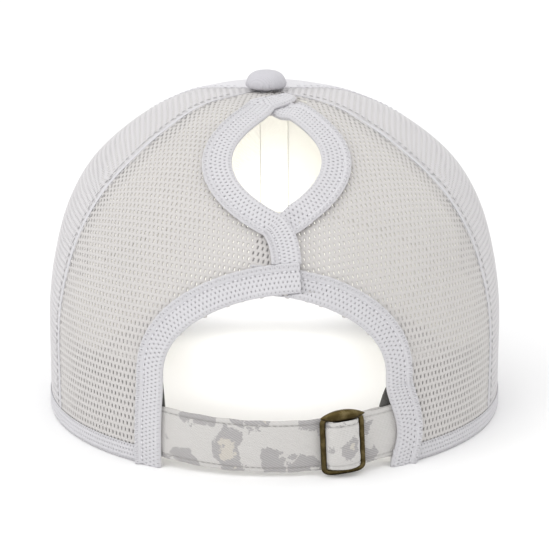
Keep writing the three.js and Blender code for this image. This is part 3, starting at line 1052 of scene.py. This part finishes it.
@dataclass
class TopPatch:
    """Small round patch inside the crown where all panels meet under the button."""
    wardrobe: Wardrobe
    radius: float = 14.0
    depth: float = 1.15

    def build(self) -> bpy.types.Object:
        """Cut the patch square and pull it into a round one under the top."""
        sheet = ClothSheet(2 * self.radius, 2 * self.radius, 20, 20, 0.25, 0.3)
        table = np.linspace(0.9, 1, 60)

        def place(flat: Array) -> Array:
            """Flat points under the crown's top."""
            x, y = flat[:, 0] - self.radius, flat[:, 1] - self.radius
            reach = np.maximum(np.abs(x), np.abs(y))
            share = reach / np.maximum(np.hypot(x, y), 1e-6)
            level = np.interp(-reach, -CROWN.side(table), table)
            return np.stack([x * share + CROWN.top_lean, y * share,
                             CROWN.height(level) - self.depth + flat[:, 2]], axis=-1)

        return keep_piece("top_patch", sheet.cut(), place, [self.wardrobe.net])


@dataclass
class FrontPanel:
    """Cloth front panel with its lining."""
    side: Side
    wardrobe: Wardrobe
    width: float = 100.0
    height: float = 130.0
    gap: float = 0.25

    def build(self) -> bpy.types.Object:
        """Cut the panel and lay it on the crown."""
        sheet = ClothSheet(self.width, self.height, 26, 34, 0.6, 0.5)

        def spot(flat: Array) -> Pair:
            """Angle and level of flat points."""
            level = CROWN.panel_top * flat[:, 1] / sheet.height
            gap = CROWN.turn_of(self.gap, level)
            low = np.radians(CROWN.front_seam(level)) + gap
            high = np.pi - gap
            return self.side.value * (low + (high - low) * flat[:, 0] / sheet.width), level

        def place(flat: Array) -> Array:
            """Flat points on the crown."""
            angle, level = spot(flat)
            return CROWN.offset(angle, level, -0.6 + flat[:, 2])

        def uv(flat: Array) -> Array:
            """Cloth coordinates that keep the weave's size."""
            angle, level = spot(flat)
            return np.stack([angle * CROWN.side(level), flat[:, 1]], axis=-1)

        piece = keep_piece(f"front_cloth_{self.side.word}", sheet.cut(), place,
                           [self.wardrobe.front, self.wardrobe.lining],
                           [f"front_panel_{self.side.word}"], uv)
        line_inside(piece, 0.05)
        return piece


@dataclass
class Sweatband:
    """Camo band around the inside of the rim, with dark sheets at its ends that paint the
    shade seen there.
    """
    wardrobe: Wardrobe
    top_level: float = 0.28
    start_x: float = 41.5
    girth: float = 480.0
    height: float = 36.0
    wall: float = 1.0
    depth: float = -2.0
    left_dive: float = 2.0
    right_dive: float = 3.5

    def build(self) -> None:
        """Make the band and the dark sheets of painted shade at its ends."""
        start = float(CROWN.angle_at(self.start_x + 4.0, 0.1))
        sheet = ClothSheet(self.girth, self.height, 96, 10, self.wall / 2, 0.4)

        def place(flat: Array) -> Array:
            """Flat points inside the rim."""
            angle = start + (2 * np.pi - 2 * start) * flat[:, 0] / sheet.width
            level = self.top_level * flat[:, 1] / sheet.height
            near_left = 1 - smoothstep(angle, math.radians(40), math.radians(50))
            near_right = smoothstep(angle, math.radians(310), math.radians(320))
            depth = self.depth - self.left_dive * near_left - self.right_dive * near_right
            return CROWN.offset(angle, level, depth + flat[:, 2])

        band = keep_piece("sweatband_cloth", sheet.cut(), place,
                          [self.wardrobe.band, self.wardrobe.lining],
                          ["sweatband"])
        line_inside(band, 0.018)
        # Dark sheets of painted shade at the band's two ends.
        for side, reach, foot, top, depth in ((Side.LEFT, 1.4, 20.0, 36.0, -3.4),
                                              (Side.RIGHT, 3.4, 20.0, 29.5, -4.2)):
            self._padding(side, reach, foot, top, depth)

    def _padding(self, side: Side, reach: float, foot: float, top: float,
                 depth: float) -> None:
        """Dark sheet past the opening's edge above the strap: painted shade for the band's end
        lying in shade.
        """
        sheet = ClothSheet(12, top - foot, 4, 6, 0.4, 0.4)
        height = CROWN.height(np.linspace(0, 0.4, 50))

        def place(flat: Array) -> Array:
            """Flat points just inside the band's end."""
            up = flat[:, 1] / sheet.height
            level = np.interp(foot + flat[:, 1], height, np.linspace(0, 0.4, 50))
            inner = self.start_x + 0.9 - reach * (1 - up) ** 0.8
            x = inner + (self.start_x + 9 - inner) * flat[:, 0] / sheet.width
            angle = CROWN.angle_at(side.value * x, level)
            return CROWN.offset(angle, level, depth + flat[:, 2])

        keep_piece(f"band_padding_{side.word}", sheet.cut(), place,
                   [self.wardrobe.charcoal])


# Strap and buckle

@dataclass(frozen=True)
class StrapForm:
    """Line that the strap follows around the back, and its hang."""
    width: float = 19.3
    low: float = 1.7
    low_x: float = -1.0
    bow: float = 0.00105
    end_x: float = 50.0
    tail_x: float = -47.0
    buckle_x: float = -24.5
    side: float = 87.1
    back: float = 98.3

    def _line(self) -> Pair:
        """Angles and arc lengths along the back line."""
        angle = np.radians(np.arange(0, 45.01, 0.25))
        x, y = self.side * np.sin(angle), self.back * np.cos(angle)
        return angle, run_along(np.stack([x, y], axis=-1))

    def run_at(self, x: float) -> float:
        """Distance along the back line to a side position."""
        angle, run = self._line()
        return float(np.sign(x) * np.interp(abs(x), self.side * np.sin(angle), run))

    def _flat_point(self, run: Array, depth: Array) -> Array:
        """Point of the back line moved outward by a depth, seen from above."""
        table, runs = self._line()
        angle = np.sign(run) * np.interp(np.abs(run), runs, table)
        out = unit(np.stack([np.sin(angle) / self.side, np.cos(angle) / self.back], axis=-1))
        line = np.stack([self.side * np.sin(angle), self.back * np.cos(angle)], axis=-1)
        return line + out * np.asarray(depth, float)[..., None]

    def slope(self, x: Array) -> Array:
        """Slope of the hanging curve at a side position."""
        return 2 * self.bow * (x - self.low_x)

    def point(self, run: Array, depth: Array, across: Array) -> Array:
        """Point by distance along the line, depth outward and place across the width."""
        x = self._flat_point(run, np.zeros_like(run))[..., 0]
        tilt = np.arctan(self.slope(x))
        place = self._flat_point(run - across * np.sin(tilt), depth)
        middle = self.low + self.width / 2 + self.bow * (x - self.low_x) ** 2
        return np.concatenate([place, (middle + across * np.cos(tilt))[..., None]], axis=-1)


STRAP = StrapForm()


@dataclass
class Strap:
    """Folded cloth strap along a path of places and depths, sewn along both edges."""
    name: str
    path: Sequence[tuple[float, float]]
    node: str
    wardrobe: Wardrobe
    half: float = 0.62
    seam_inset: float = 1.8
    uv_start: float = 0.0
    squeeze: float = 0.0
    groove: float = 0.34
    groove_half: float = 0.45
    held_near: float = 5.6
    held_far: float = 7.4

    def _track(self) -> Pair:
        """Smooth path points and their distances."""
        knots = np.array(self.path, float)
        ends = np.vstack([2 * knots[0] - knots[1], knots, 2 * knots[-1] - knots[-2]])
        points = []
        for a, b, c, d in zip(ends[:-3], ends[1:-2], ends[2:-1], ends[3:]):
            t = np.linspace(0, 1, 12, endpoint=False)[:, None]
            points.append(0.5 * (2 * b + (c - a) * t + (2 * a - 5 * b + 4 * c - d) * t ** 2
                                 + (3 * b - a - 3 * c + d) * t ** 3))
        track = np.vstack(points + [knots[-1:]])
        return track, run_along(track)

    def _on(self, along: Array, across: Array, height: Array) -> Array:
        """Point by distance along the strap, place across it and height over its middle."""
        track, run = self._track()
        reach = 0.15
        spot = follow(along, run, track).T
        ahead = (follow(along + reach, run, track) - follow(along - reach, run, track)).T
        size = np.maximum(np.hypot(*ahead), 1e-6)
        sign = np.sign(track[-1, 0] - track[0, 0])
        return STRAP.point(spot[0] - sign * height * ahead[1] / size,
                           spot[1] + sign * height * ahead[0] / size, across)

    def _held(self, along: Array) -> Array:
        """Share from 0 to 1 of how much the strap lies between the buckle's bars."""
        track, run = self._track()
        spot = np.interp(along, run, track[:, 0]) - STRAP.run_at(STRAP.buckle_x)
        return 1 - smoothstep(np.abs(spot), self.held_near, self.held_far)

    def build(self) -> bpy.types.Object:
        """Make the strap with soft grooves along its two sewn lines."""
        _, run = self._track()
        sheet = ClothSheet(float(run[-1]), STRAP.width, 150, 30, self.half, 0.3)

        def place(flat: Array) -> Array:
            """Flat points along the strap."""
            across = flat[:, 1] - STRAP.width / 2
            inset = STRAP.width / 2 - np.abs(across)
            away = (inset - self.seam_inset) / self.groove_half
            groove = 1 - self.groove * np.exp(-away ** 2)
            rim = np.sqrt(1 - np.clip(1 - inset, 0, 1) ** 2)
            wave = 1 + 0.10 * np.sin(flat[:, 0] / 4.3) * np.sin(flat[:, 0] / 1.7 + across)
            edge = 0.12 * np.sin(flat[:, 0] * 0.55) * np.sign(across) * (inset < 0.6)
            held = self._held(flat[:, 0])
            across = across * (1 - self.squeeze * held) + 0.2 * held
            return self._on(flat[:, 0], across + edge, flat[:, 2] * groove * rim * wave)

        def uv(flat: Array) -> Array:
            """Cloth coordinates, started at a place of its own."""
            return flat + np.array([self.uv_start, 0, 0])

        return keep_piece(self.name, sheet.cut(), place, [self.wardrobe.strap],
                          [self.node], uv)

    def sew(self, bm: BMesh, start: float, stop: float) -> None:
        """Add the stitch rows along both edges of the outside face."""
        along = np.linspace(start, stop, 220)
        for side in (-1, 1):
            across = np.full_like(along, side * (STRAP.width / 2 - self.seam_inset))
            low = self._on(along, across, np.full_like(along, self.half * 0.7))
            high = self._on(along, across, np.full_like(along, self.half * 0.7 + 1))
            StitchRow(2.0, 1.5, 0.2).sew(bm, low, high - low)


@dataclass
class Buckle:
    """Antique brass slide: thin sides, a lens-shaped top bar and a bowed bottom bar."""
    wardrobe: Wardrobe
    width: float = 16.8
    window: float = 8.9
    side_bar: float = 2.0
    foot_bar: float = 1.75
    top_bar: float = 4.7
    thick: float = 1.75
    foot: float = -11.35
    centre_bar: float = 2.6
    back: float = -1.2
    corner: float = 1.9
    side_foot: float = -8.4
    ring: float = 10.0

    def _outline(self) -> Array:
        """Middle line of the bars, counter-clockwise from the right bar, closed."""
        half = self.width / 2 - self.side_bar / 2
        top, corner = self.window + self.side_bar * 0.55, self.corner
        sides = np.linspace(self.side_foot, top - corner, 30)
        bend = np.linspace(0, np.pi / 2, 12)[1:]
        upper = np.linspace(half - corner, 0, 24)[1:]
        right = np.stack([np.full(30, half), sides], axis=-1)
        turn = np.stack([half - corner + corner * np.cos(bend),
                         top - corner + corner * np.sin(bend)], axis=-1)
        middle = self.foot + self.foot_bar / 2
        lower = np.linspace(0, 1, 30)[:-1] * np.pi / 2
        rise = (self.side_foot - middle) * (1 - np.cos(lower)) ** 1.6
        bow = np.stack([half * np.sin(lower), middle + rise], axis=-1)
        across = np.stack([upper, np.full(len(upper), top)], axis=-1)
        line = np.vstack([bow, right, turn, across])
        return np.vstack([line, (line * [-1, 1])[::-1][1:]])

    def _frame(self, flat: Array) -> Array:
        """Turn a round ring into the frame: its turn gives the place, its section the bar."""
        line = self._outline()
        run = run_along(line)
        share = np.mod(np.arctan2(flat[:, 1], flat[:, 0]) / (2 * np.pi), 1.0) * run[-1]
        spot = follow(share, run, line)
        reach = 0.5
        ahead = unit(follow(np.mod(share + reach, run[-1]), run, line)
                     - follow(np.mod(share - reach, run[-1]), run, line))
        out = np.stack([ahead[:, 1], -ahead[:, 0]], axis=-1)
        section = np.arctan2(flat[:, 2], np.hypot(flat[:, 0], flat[:, 1]) - self.ring)
        side, high = (np.sign(wave) * np.abs(wave) ** 0.8 * size / 2 for wave, size in (
            (np.cos(section), self.side_bar), (np.sin(section), self.thick)))
        return np.stack([spot[:, 0] + out[:, 0] * side, spot[:, 1] + out[:, 1] * side,
                         self.thick / 2 + high], axis=-1)

    def _lens(self, bm: BMesh) -> None:
        """Add the lens-shaped top bar, pointed at both ends."""
        ball = bmesh.ops.create_uvsphere(bm, u_segments=32, v_segments=32, radius=1.0,
                                         matrix=Matrix.Rotation(math.pi / 2, 4, "Y"))
        for vert in ball["verts"]:
            taper = math.sqrt(max(0.0, 1 - vert.co.x ** 2))
            vert.co.y = vert.co.y * taper ** 0.75 * self.top_bar / 2
            vert.co.z = vert.co.z * taper ** 0.35 * self.thick * 1.2
            vert.co.x *= self.width / 2 + 0.1
        bmesh.ops.translate(bm, vec=(0, self.window + self.top_bar / 2 - 0.5,
                                     self.thick * 1.1), verts=ball["verts"])

    def build(self) -> bpy.types.Object:
        """Spin a ring, press it into the frame, and add the middle bar."""
        bm = bmesh.new()
        ring = bmesh.ops.create_circle(bm, segments=16, radius=1.0,
                                       matrix=Matrix.Translation((self.ring, 0, 0))
                                       @ Matrix.Rotation(math.pi / 2, 4, "X"))
        bmesh.ops.spin(bm, geom=ring["verts"] + bm.edges[:], axis=(0, 0, 1), cent=(0, 0, 0),
                       steps=144, angle=2 * math.pi, use_merge=True)
        bmesh.ops.recalc_face_normals(bm, faces=bm.faces[:])
        points = self._frame(np.array([vert.co[:] for vert in bm.verts]))
        for vert, point in zip(bm.verts, points):
            vert.co = point
        bar = bmesh.ops.create_cube(bm, size=1.0)
        bmesh.ops.scale(bm, vec=(self.centre_bar, 2 * self.window + 1.4, 1.4),
                        verts=bar["verts"])
        bmesh.ops.translate(bm, vec=(0, 0, self.thick / 2), verts=bar["verts"])
        edges = {edge for vert in bar["verts"] for edge in vert.link_edges}
        bmesh.ops.bevel(bm, geom=list(edges), offset=0.45, segments=3, profile=0.5,
                        affect="EDGES", material=-1)
        self._lens(bm)

        run = np.array(STRAP.run_at(STRAP.buckle_x))
        zero = np.array(0.0)
        middle = STRAP.point(run, np.array(self.back), zero)
        along = unit(STRAP.point(run - 0.5, np.array(self.back), zero)
                     - STRAP.point(run + 0.5, np.array(self.back), zero))
        outward = unit(np.cross(along, [0, 0, 1.0]))
        basis = np.stack([along, np.cross(outward, along), outward])

        def place(flat: Array) -> Array:
            """Flat buckle points on the strap."""
            return flat @ basis + middle

        return keep_piece("buckle_frame", bm, place, [self.wardrobe.brass], ["buckle"])


def buckle_track(steps: Sequence[tuple[float, float]]) -> list[tuple[float, float]]:
    """Path points near the buckle, from offsets along the strap and depths."""
    middle = STRAP.run_at(STRAP.buckle_x)
    return [(middle + along, depth) for along, depth in steps]


def make_straps(wardrobe: Wardrobe) -> tuple[Strap, Strap]:
    """The strap sewn in at the left and the short one that holds the buckle."""
    climb = [(10.5, -2.3), (8.6, -2.35), (7.1, -2.2), (6.2, -1.2), (5.7, 0.3), (4.7, 1.9),
             (2.6, 2.85)]
    fall = [(-along, depth) for along, depth in reversed(climb)]
    long_path = ([(STRAP.run_at(STRAP.end_x), -2.35), (STRAP.run_at(42), -2.35),
                  (STRAP.run_at(25), -2.1), (0.0, -2.1)]
                 + buckle_track(climb + [(0, 3.05)] + fall)
                 + [(STRAP.run_at(-40), -2.35), (STRAP.run_at(STRAP.tail_x), -2.35)])
    short_path = ([(STRAP.run_at(-STRAP.end_x), -3.9), (STRAP.run_at(-40), -3.9)]
                  + buckle_track([(-6, -3.85), (-1, -3.6), (1.6, -2.7), (2.5, -1.2),
                                  (2.5, 0.4), (2.2, 1.2), (1.4, 1.5), (0, 1.5), (-1.4, 1.5),
                                  (-2.2, 1.2), (-2.5, 0.3), (-2.5, -0.6)]))
    return (Strap("strap_long_cloth", long_path, "strap_long", wardrobe, uv_start=3.0,
                  squeeze=0.065),
            Strap("strap_short_cloth", short_path, "strap_short", wardrobe, 0.5,
                  uv_start=150.0, squeeze=0.12))


# Top and peak

@dataclass
class Button:
    """Cloth-covered button on the middle of the top."""
    wardrobe: Wardrobe
    radius: float = 7.6
    dome: float = 5.0
    skirt: float = 1.7
    shank: tuple[tuple[float, float], ...] = ((0.0, -4.4), (1.2, -4.4), (1.2, 0.1),
                                              (6.7, 0.35), (7.4, 0.85))
    pleats: int = 20
    pleat: float = 0.34

    def build(self) -> bpy.types.Object:
        """Spin the dome's outline and gather its lower edge."""
        bm = bmesh.new()
        outline = list(self.shank)
        for share in np.linspace(0, 1, 12):
            turn = share * math.pi / 2
            outline.append((self.radius * math.cos(turn) ** 0.62 if share < 1 else 0.0,
                            self.skirt + self.dome * math.sin(turn) ** 1.05))
        verts = [bm.verts.new((r, 0, z)) for r, z in outline]
        edges = [bm.edges.new(pair) for pair in zip(verts, verts[1:])]
        bmesh.ops.spin(bm, geom=verts + edges, axis=(0, 0, 1), cent=(0, 0, 0), steps=72,
                       angle=2 * math.pi, use_merge=True)
        bmesh.ops.remove_doubles(bm, verts=bm.verts[:], dist=1e-4)
        bmesh.ops.recalc_face_normals(bm, faces=bm.faces[:])

        def place(flat: Array) -> Array:
            """Gather the lower edge and set the button on the crown."""
            angle = np.arctan2(flat[:, 1], flat[:, 0])
            reach = np.hypot(flat[:, 0], flat[:, 1])
            low = smoothstep(reach, 5.8, 7.2) * (1 - smoothstep(flat[:, 2], 1.2, 3.2))
            fold = self.pleat * np.sin(angle * self.pleats) * low
            grown = 1 + fold / np.maximum(reach, 1)
            return np.stack([flat[:, 0] * grown + CROWN.top_lean, flat[:, 1] * grown,
                             flat[:, 2] + 0.6 * fold + CROWN.top], axis=-1)

        return keep_piece("button_dome", bm, place, [self.wardrobe.button],
                          ["button"])


@dataclass
class Peak:
    """Curved peak with a rounded edge and rows of stitches."""
    wardrobe: Wardrobe
    reach: float = 68.0
    wall: float = 2.4
    spread: float = 62.0
    outer_mid: float = 17.5
    outer_end: float = 2.4
    end_reach: float = 7.0
    rows: int = 7
    row_step: float = 0.105
    row_groove: float = 0.10
    row_half: float = 0.012
    seat_depth: float = -1.2
    swell: float = 2.2
    seat_lift: float = 0.15

    def _top(self, across: Array, out: Array) -> Array:
        """Point on the peak's top, across from -1 to 1 and out from the crown to the edge."""
        angle = np.pi - across * math.radians(self.spread)
        seat = CROWN.offset(angle, np.zeros_like(angle), np.full_like(angle, self.seat_depth))
        bend = 1 - np.abs(across) ** 3
        reach = self.end_reach + (self.reach - self.end_reach) * np.sqrt(np.clip(bend, 0, 1))
        edge = np.stack([seat[:, 0] * (1.04 + 0.05 * (1 - across ** 2)), seat[:, 1] - reach,
                         self.outer_mid + (self.outer_end - self.outer_mid) * across ** 2],
                        axis=-1)
        point = seat + (edge - seat) * out[:, None]
        swell = self.swell * np.sin(np.pi * out) * (1 - across ** 2)
        point[:, 2] += swell + self.seat_lift * (1 - out)
        return point

    def _on(self, across: Array, out: Array, height: Array) -> Array:
        """Point over the peak's middle layer by a height."""
        step = 0.01
        a, b = np.clip(across, -1 + step, 1 - step), np.clip(out, step, 1 - step)
        normal = unit(np.cross(self._top(a + step, b) - self._top(a - step, b),
                               self._top(a, b + step) - self._top(a, b - step)))
        normal *= np.sign(normal[:, 2:3])
        return self._top(across, out) + normal * (height - self.wall / 2)[:, None]

    def build(self) -> None:
        """Make the board, with its rounded edge, and the stitch rows."""
        sheet = ClothSheet(200, 70, 100, 36, self.wall / 2, 0.9)

        def place(flat: Array) -> Array:
            """Flat points on the peak."""
            across, out = 2 * flat[:, 0] / sheet.width - 1, flat[:, 1] / sheet.height
            height = flat[:, 2].copy()
            for row in range(1, self.rows + 1):
                away = (out - 1 + self.row_step * row) / self.row_half
                height *= 1 - self.row_groove * np.exp(-away ** 2)
            return self._on(across, out, height)

        keep_piece("peak_cloth", sheet.cut(), place, [self.wardrobe.camo],
                   ["peak"], place)
        bm = bmesh.new()
        for row in range(1, self.rows + 1):
            across = np.linspace(-0.985, 0.985, 240)
            out = np.full_like(across, 1 - self.row_step * row)
            low = self._on(across, out, np.full_like(across, self.wall / 2 - 0.08))
            high = self._on(across, out, np.full_like(across, self.wall / 2 + 1))
            StitchRow(3.0, 2.2, 0.2).sew(bm, low, high - low)
        keep_piece("peak_stitches", bm, as_laid, [self.wardrobe.grey_thread])


# Whole cap

@dataclass
class TruckerCap:
    """The whole cap, built in order; sewn says where the long strap is stitched, in mm."""
    wardrobe: Wardrobe
    sewn: tuple[tuple[float, float], ...] = ((4.0, 66.0), (78.0, 88.0))
    rim_end: float = 122.0

    def build(self) -> None:
        """Build every piece."""
        for side in Side:
            NetPanel(side, True, self.wardrobe).build()
            NetPanel(side, False, self.wardrobe).build()
            FrontPanel(side, self.wardrobe).build()
        self._hems()
        self._seams()
        TopPatch(self.wardrobe).build()
        Sweatband(self.wardrobe).build()
        long_strap, short_strap = make_straps(self.wardrobe)
        long_strap.build()
        short_strap.build()
        bm = bmesh.new()
        for start, stop in self.sewn:
            long_strap.sew(bm, start, stop)
        keep_piece("strap_stitches", bm, as_laid, [self.wardrobe.grey_thread])
        Buckle(self.wardrobe).build()
        Button(self.wardrobe).build()
        Peak(self.wardrobe).build()

    def _hems(self) -> None:
        """Hems of the arch, the hole and the rim, with their stitches."""
        bm = bmesh.new()
        for side in Side:
            arch = FoldedHem(f"arch_hem_{side.word}", rear_edge(side, "arch"), side,
                             self.wardrobe)
            hole = FoldedHem(f"hole_hem_{side.word}", rear_edge(side, "hole"), side,
                             self.wardrobe, high=0.55, low=-1.4, spare=17.0)
            for hem in (arch, hole):
                hem.build()
                hem.build_roll()
                StitchRow().sew(bm, *hem.stitch_line())
            start = float(CROWN.angle_at(CROWN.arch_foot, 0.0))
            turn = np.linspace(start, math.radians(self.rim_end), 120) * side.value
            rim = EdgeLine(turn, np.zeros_like(turn), -side.value)
            FoldedHem(f"rim_fold_{side.word}", rim, side, self.wardrobe, outer=6.6, inner=3.4,
                      high=-0.1, low=-1.35, curl=0.0, rest=0.35, laps=False).build()
        keep_piece("hem_stitches", bm, as_laid, [self.wardrobe.white_thread])

    def _seams(self) -> None:
        """Seams between the panels, with their stitches."""
        rows = {"rear": bmesh.new(), "front": bmesh.new()}
        for side in Side:
            for kind, middle in (("rear", CROWN.rear_seam), ("front", CROWN.front_seam)):
                seam = SeamLine(f"{kind}_seam_{side.word}", middle, side.value, self.wardrobe)
                seam.build()
                seam.sew(rows[kind])
        front = SeamLine("centre_seam", Curve((0, 1), (180, 180)), 1, self.wardrobe,
                         tape_half=0.15, stitch_lift=0.06)
        front.build()
        front.sew(rows["front"])
        for kind, thread in (("rear", self.wardrobe.shade_thread),
                             ("front", self.wardrobe.white_thread)):
            keep_piece(f"{kind}_seam_stitches", rows[kind], as_laid, [thread])


@dataclass(frozen=True)
class Lamp:
    """Lamp of the studio: places and sizes in metres, the cone in degrees."""
    name: str
    kind: str
    power: float
    place: Point3
    aim: Point3
    size: tuple[float, ...] = (0.02,)
    cone: float = 0.0
    hidden: bool = True

    def hang(self) -> None:
        """Make the lamp; a hidden one isn't seen by the camera or in reflections."""
        light = bpy.data.lights.new(self.name, self.kind)
        light.energy = self.power
        if self.kind == "AREA":
            light.size = self.size[0]
        else:
            light.shadow_soft_size = self.size[0]
        if len(self.size) == 2:
            light.shape = "RECTANGLE"
            light.size_y = self.size[1]
        if self.kind == "SPOT":
            light.spot_size = math.radians(self.cone)
            light.spot_blend = 0.8
            light.color = (0.93, 0.96, 1.0)
        lamp = add_object(self.name, light)
        lamp.location = self.place
        aim = Vector(self.aim) - Vector(self.place)
        lamp.rotation_euler = aim.to_track_quat("-Z", "Y").to_euler()
        if self.hidden:
            lamp.visible_camera = False
            lamp.visible_glossy = False


CAP_MIDDLE = (0, 0.034, 0.05)
LAMPS = (
    Lamp("key", "AREA", 8.0, (1.2, 1.3, 1.4), CAP_MIDDLE, (1.4,), hidden=False),
    Lamp("top", "AREA", 6.5, (0.2, 0.3, 2.0), CAP_MIDDLE, (1.6,), hidden=False),
    Lamp("inside", "POINT", 0.085, (0, 0.015, 0.05), (0, 0, 0)),
    Lamp("inside_front", "SPOT", 0.36, (0, 0.05, 0.058), (0, -0.095, 0.066), cone=25),
    Lamp("under_peak", "SPOT", 0.27, (0, 0.02, 0.02), (0, -0.10, 0.0), cone=80),
    Lamp("peak_floor", "AREA", 0.008, (0, -0.098, 0.013), (0, -0.098, 0), (0.08, 0.05)),
)


@dataclass
class Studio:
    """Pale floor, soft lights and the camera."""
    wardrobe: Wardrobe
    distance: float = 1.1
    elevation: float = 14.4
    aim: Point3 = (0.0, 0.0342, 0.060)
    tilt_down: float = 0.527
    focal_px: float = 2849.0
    frame_px: float = 549.0
    sensor: float = 36.0

    def build(self) -> None:
        """Set up the studio."""
        self._floor()
        self._world()
        for lamp in LAMPS:
            lamp.hang()
        self._camera()

    def _floor(self) -> None:
        """Wide round floor at the cap's resting height."""
        bm = bmesh.new()
        bmesh.ops.create_circle(bm, cap_ends=True, segments=64, radius=6.0)
        mesh = bpy.data.meshes.new("floor")
        bm.to_mesh(mesh)
        bm.free()
        mesh.materials.append(self.wardrobe.floor)
        add_object("floor", mesh)

    def _world(self) -> None:
        """Even white surroundings."""
        world = bpy.data.worlds.new("studio_air")
        world.use_nodes = True
        back = world.node_tree.nodes["Background"]
        back.inputs["Color"].default_value = (1.0, 1.0, 1.0, 1)
        back.inputs["Strength"].default_value = 1.0
        bpy.context.scene.world = world
        bpy.context.scene.view_settings.view_transform = "Standard"

    def _camera(self) -> None:
        """Camera behind the cap, a little above it, as in the photograph."""
        data = bpy.data.cameras.new("camera")
        data.sensor_width = self.sensor
        data.lens = self.focal_px / self.frame_px * self.sensor
        data.clip_start, data.clip_end = 0.05, 50.0
        camera = add_object("camera", data)
        lift = math.radians(self.elevation)
        camera.location = Vector(self.aim) + self.distance * Vector((0, math.cos(lift),
                                                                     math.sin(lift)))
        down = math.radians(90 - self.elevation - self.tilt_down)
        camera.rotation_euler = (down, 0, math.pi)
        bpy.context.scene.camera = camera


def main() -> None:
    """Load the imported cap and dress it."""
    logging.basicConfig(level=logging.INFO, format="%(name)s %(message)s")
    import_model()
    wardrobe = Wardrobe()
    TruckerCap(wardrobe).build()
    Studio(wardrobe).build()


if __name__ == "__main__":
    main()
